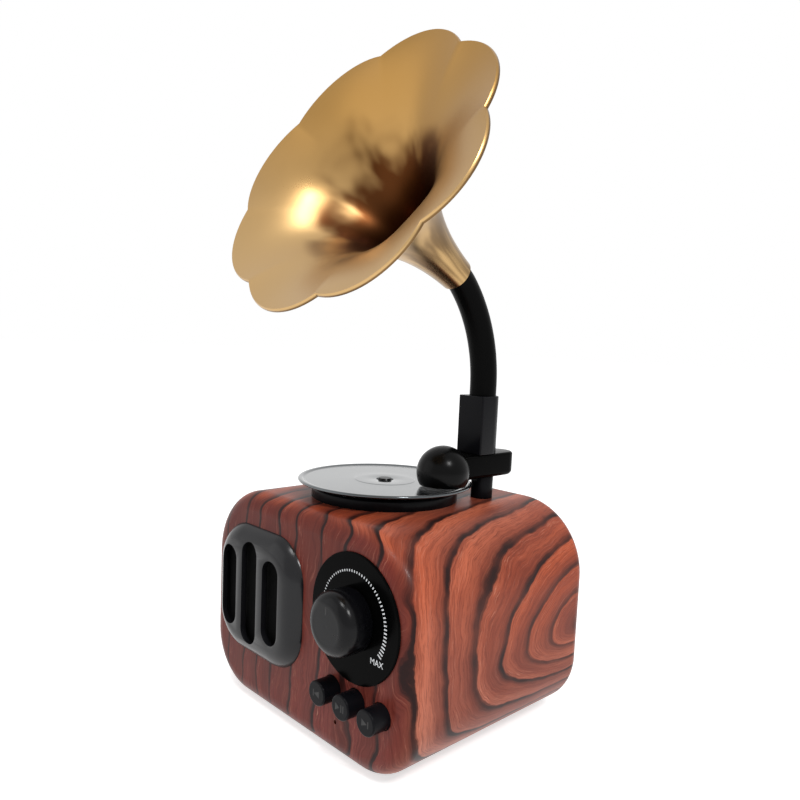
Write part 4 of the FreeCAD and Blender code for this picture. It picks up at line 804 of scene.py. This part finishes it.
def build_dial():
    """White ticks round the dial, longer near the loud end, with the words MIN and MAX."""
    low, high = corners("dial_plate")
    centre = (low + high) / 2
    front = low.y - 0.03 * MM
    each_way = DIAL["ticks_each_way"]
    ticks = []
    for number in range(-each_way, each_way + 1):
        loudness = (number + each_way) / (2 * each_way)
        reach = 0.26 + 0.28 * loudness ** 2 + 0.3 * loudness ** 8
        outer, inner = DIAL["tick_radius"] + reach, DIAL["tick_radius"] - reach
        width = 0.3 + 0.14 * loudness
        ticks.append(stroke(centre, outer, inner, number * DIAL["tick_angle"], width))
    prints("dial_ticks", ticks, front, "print_white", "cabinet")
    for word, side in (("MIN", -1), ("MAX", 1)):
        dial_word(word, centre, front, side * DIAL["word_angle"])


def build_signs():
    """Dark track and play signs on the button caps."""
    for node, shapes in SIGNS.items():
        low, high = corners(node)
        centre = (low + high) / 2
        sign = [shape(centre, *sizes) for shape, *sizes in shapes]
        prints(node + "_sign", sign, low.y - 0.02 * MM, "mark_dark", BODY_OF[node])


build_bell()
build_platter()
build_knob()
build_dial()
build_signs()
SOFT_EDGES = {"speaker_grille": 0.35, "tonearm": 0.3, "horn_socket": 0.25, "tonearm_post": 0.2,
              "turntable_base": 0.3}
for node, width in SOFT_EDGES.items():
    bevelled(node, width)


# ---------------------------------------------------------------- stage, lights and camera

WHITE = (1, 1, 1, 1)
FLOOR_HALF = 6.0
FLOOR_LIFT = 0.62
# Angles in degrees, place in mm, shift as a share of the frame.
CAMERA = {"turn": 46.71, "drop": 6.0, "roll": 2.42, "place": (179.51, -173.06, 124.74),
          "lens": 33.2, "shift": (0.0099, 0.0213)}


def looking_rays(tree):
    """1 for the rays that look at a surface, and 0 for those that gather its light."""
    path = tree.nodes.new("ShaderNodeLightPath").outputs
    seen = path["Is Camera Ray"]
    for ray in ("Is Glossy Ray", "Is Transmission Ray"):
        either = tree.nodes.new("ShaderNodeMath")
        either.operation = "MAXIMUM"
        tree.links.new(seen, either.inputs[0])
        tree.links.new(path[ray], either.inputs[1])
        seen = either.outputs[0]
    return seen


def build_floor():
    """White floor: lit as any surface, lifted to white where the camera or a gloss looks at it."""
    mesh = bpy.data.meshes.new("floor")
    square = ((-1, -1), (1, -1), (1, 1), (-1, 1))
    mesh.from_pydata([(x * FLOOR_HALF, y * FLOOR_HALF, 0) for x, y in square], [], [(0, 1, 2, 3)])
    floor = bpy.data.objects.new("floor", mesh)
    bpy.context.collection.objects.link(floor)
    n = Nodes("floor")
    lift = n.times(looking_rays(n.tree), FLOOR_LIFT)
    n.set(Base_Color=(0.8, 0.8, 0.8, 1), Roughness=0.8, Specular_IOR_Level=0.0,
          Emission_Color=WHITE, Emission_Strength=lift)
    mesh.materials.append(n.material)


def build_world():
    """Even pale surround that the camera and glossy surfaces see as white."""
    world = bpy.data.worlds.new("studio")
    bpy.context.scene.world = world
    world.use_nodes = True
    tree = world.node_tree
    lighting, seen = tree.nodes["Background"], tree.nodes.new("ShaderNodeBackground")
    for background, strength in ((lighting, 0.5), (seen, 1.0)):
        background.inputs["Color"].default_value = WHITE
        background.inputs["Strength"].default_value = strength
    mix = tree.nodes.new("ShaderNodeMixShader")
    tree.links.new(looking_rays(tree), mix.inputs[0])
    tree.links.new(lighting.outputs[0], mix.inputs[1])
    tree.links.new(seen.outputs[0], mix.inputs[2])
    tree.links.new(mix.outputs[0], tree.nodes["World Output"].inputs[0])


def area_light(name, place, target, size, power):
    """A square lamp that faces a target, in metres and watts."""
    data = bpy.data.lights.new(name, "AREA")
    data.shape = "SQUARE"
    data.size = size
    data.energy = power
    lamp = bpy.data.objects.new(name, data)
    bpy.context.collection.objects.link(lamp)
    lamp.location = place
    lamp.rotation_euler = (Vector(target) - Vector(place)).to_track_quat("-Z", "Y").to_euler()


def build_camera():
    """Looks at the right front corner from a little above, turned slightly in its own plane."""
    turn, drop, roll = (math.radians(CAMERA[angle]) for angle in ("turn", "drop", "roll"))
    back = Vector((math.sin(turn) * math.cos(drop), -math.cos(turn) * math.cos(drop), math.sin(drop)))
    across = Vector((math.cos(turn), math.sin(turn), 0))
    upright = back.cross(across)
    right = math.cos(roll) * across + math.sin(roll) * upright
    up = -math.sin(roll) * across + math.cos(roll) * upright
    data = bpy.data.cameras.new("camera")
    data.sensor_width = 36.0
    data.lens = CAMERA["lens"]
    data.shift_x, data.shift_y = CAMERA["shift"]
    data.clip_start = 0.01
    camera = bpy.data.objects.new("camera", data)
    bpy.context.collection.objects.link(camera)
    matrix = Matrix((right, up, back)).transposed().to_4x4()
    matrix.translation = Vector(CAMERA["place"]) * MM
    camera.matrix_world = matrix
    bpy.context.scene.camera = camera


bpy.context.scene.view_settings.view_transform = "Standard"
build_floor()
build_world()
build_camera()
PART_MIDDLE = (0, 0, 0.1)
BELL_SPOT = (0, -0.04, 0.16)
area_light("key", (0.82, -0.2, 0.95), PART_MIDDLE, 0.22, 6.8)
area_light("fill", (-0.6, -1.0, 0.5), PART_MIDDLE, 0.9, 1.5)
area_light("glint", (0.17, -0.42, 1.05), BELL_SPOT, 0.26, 3.6)
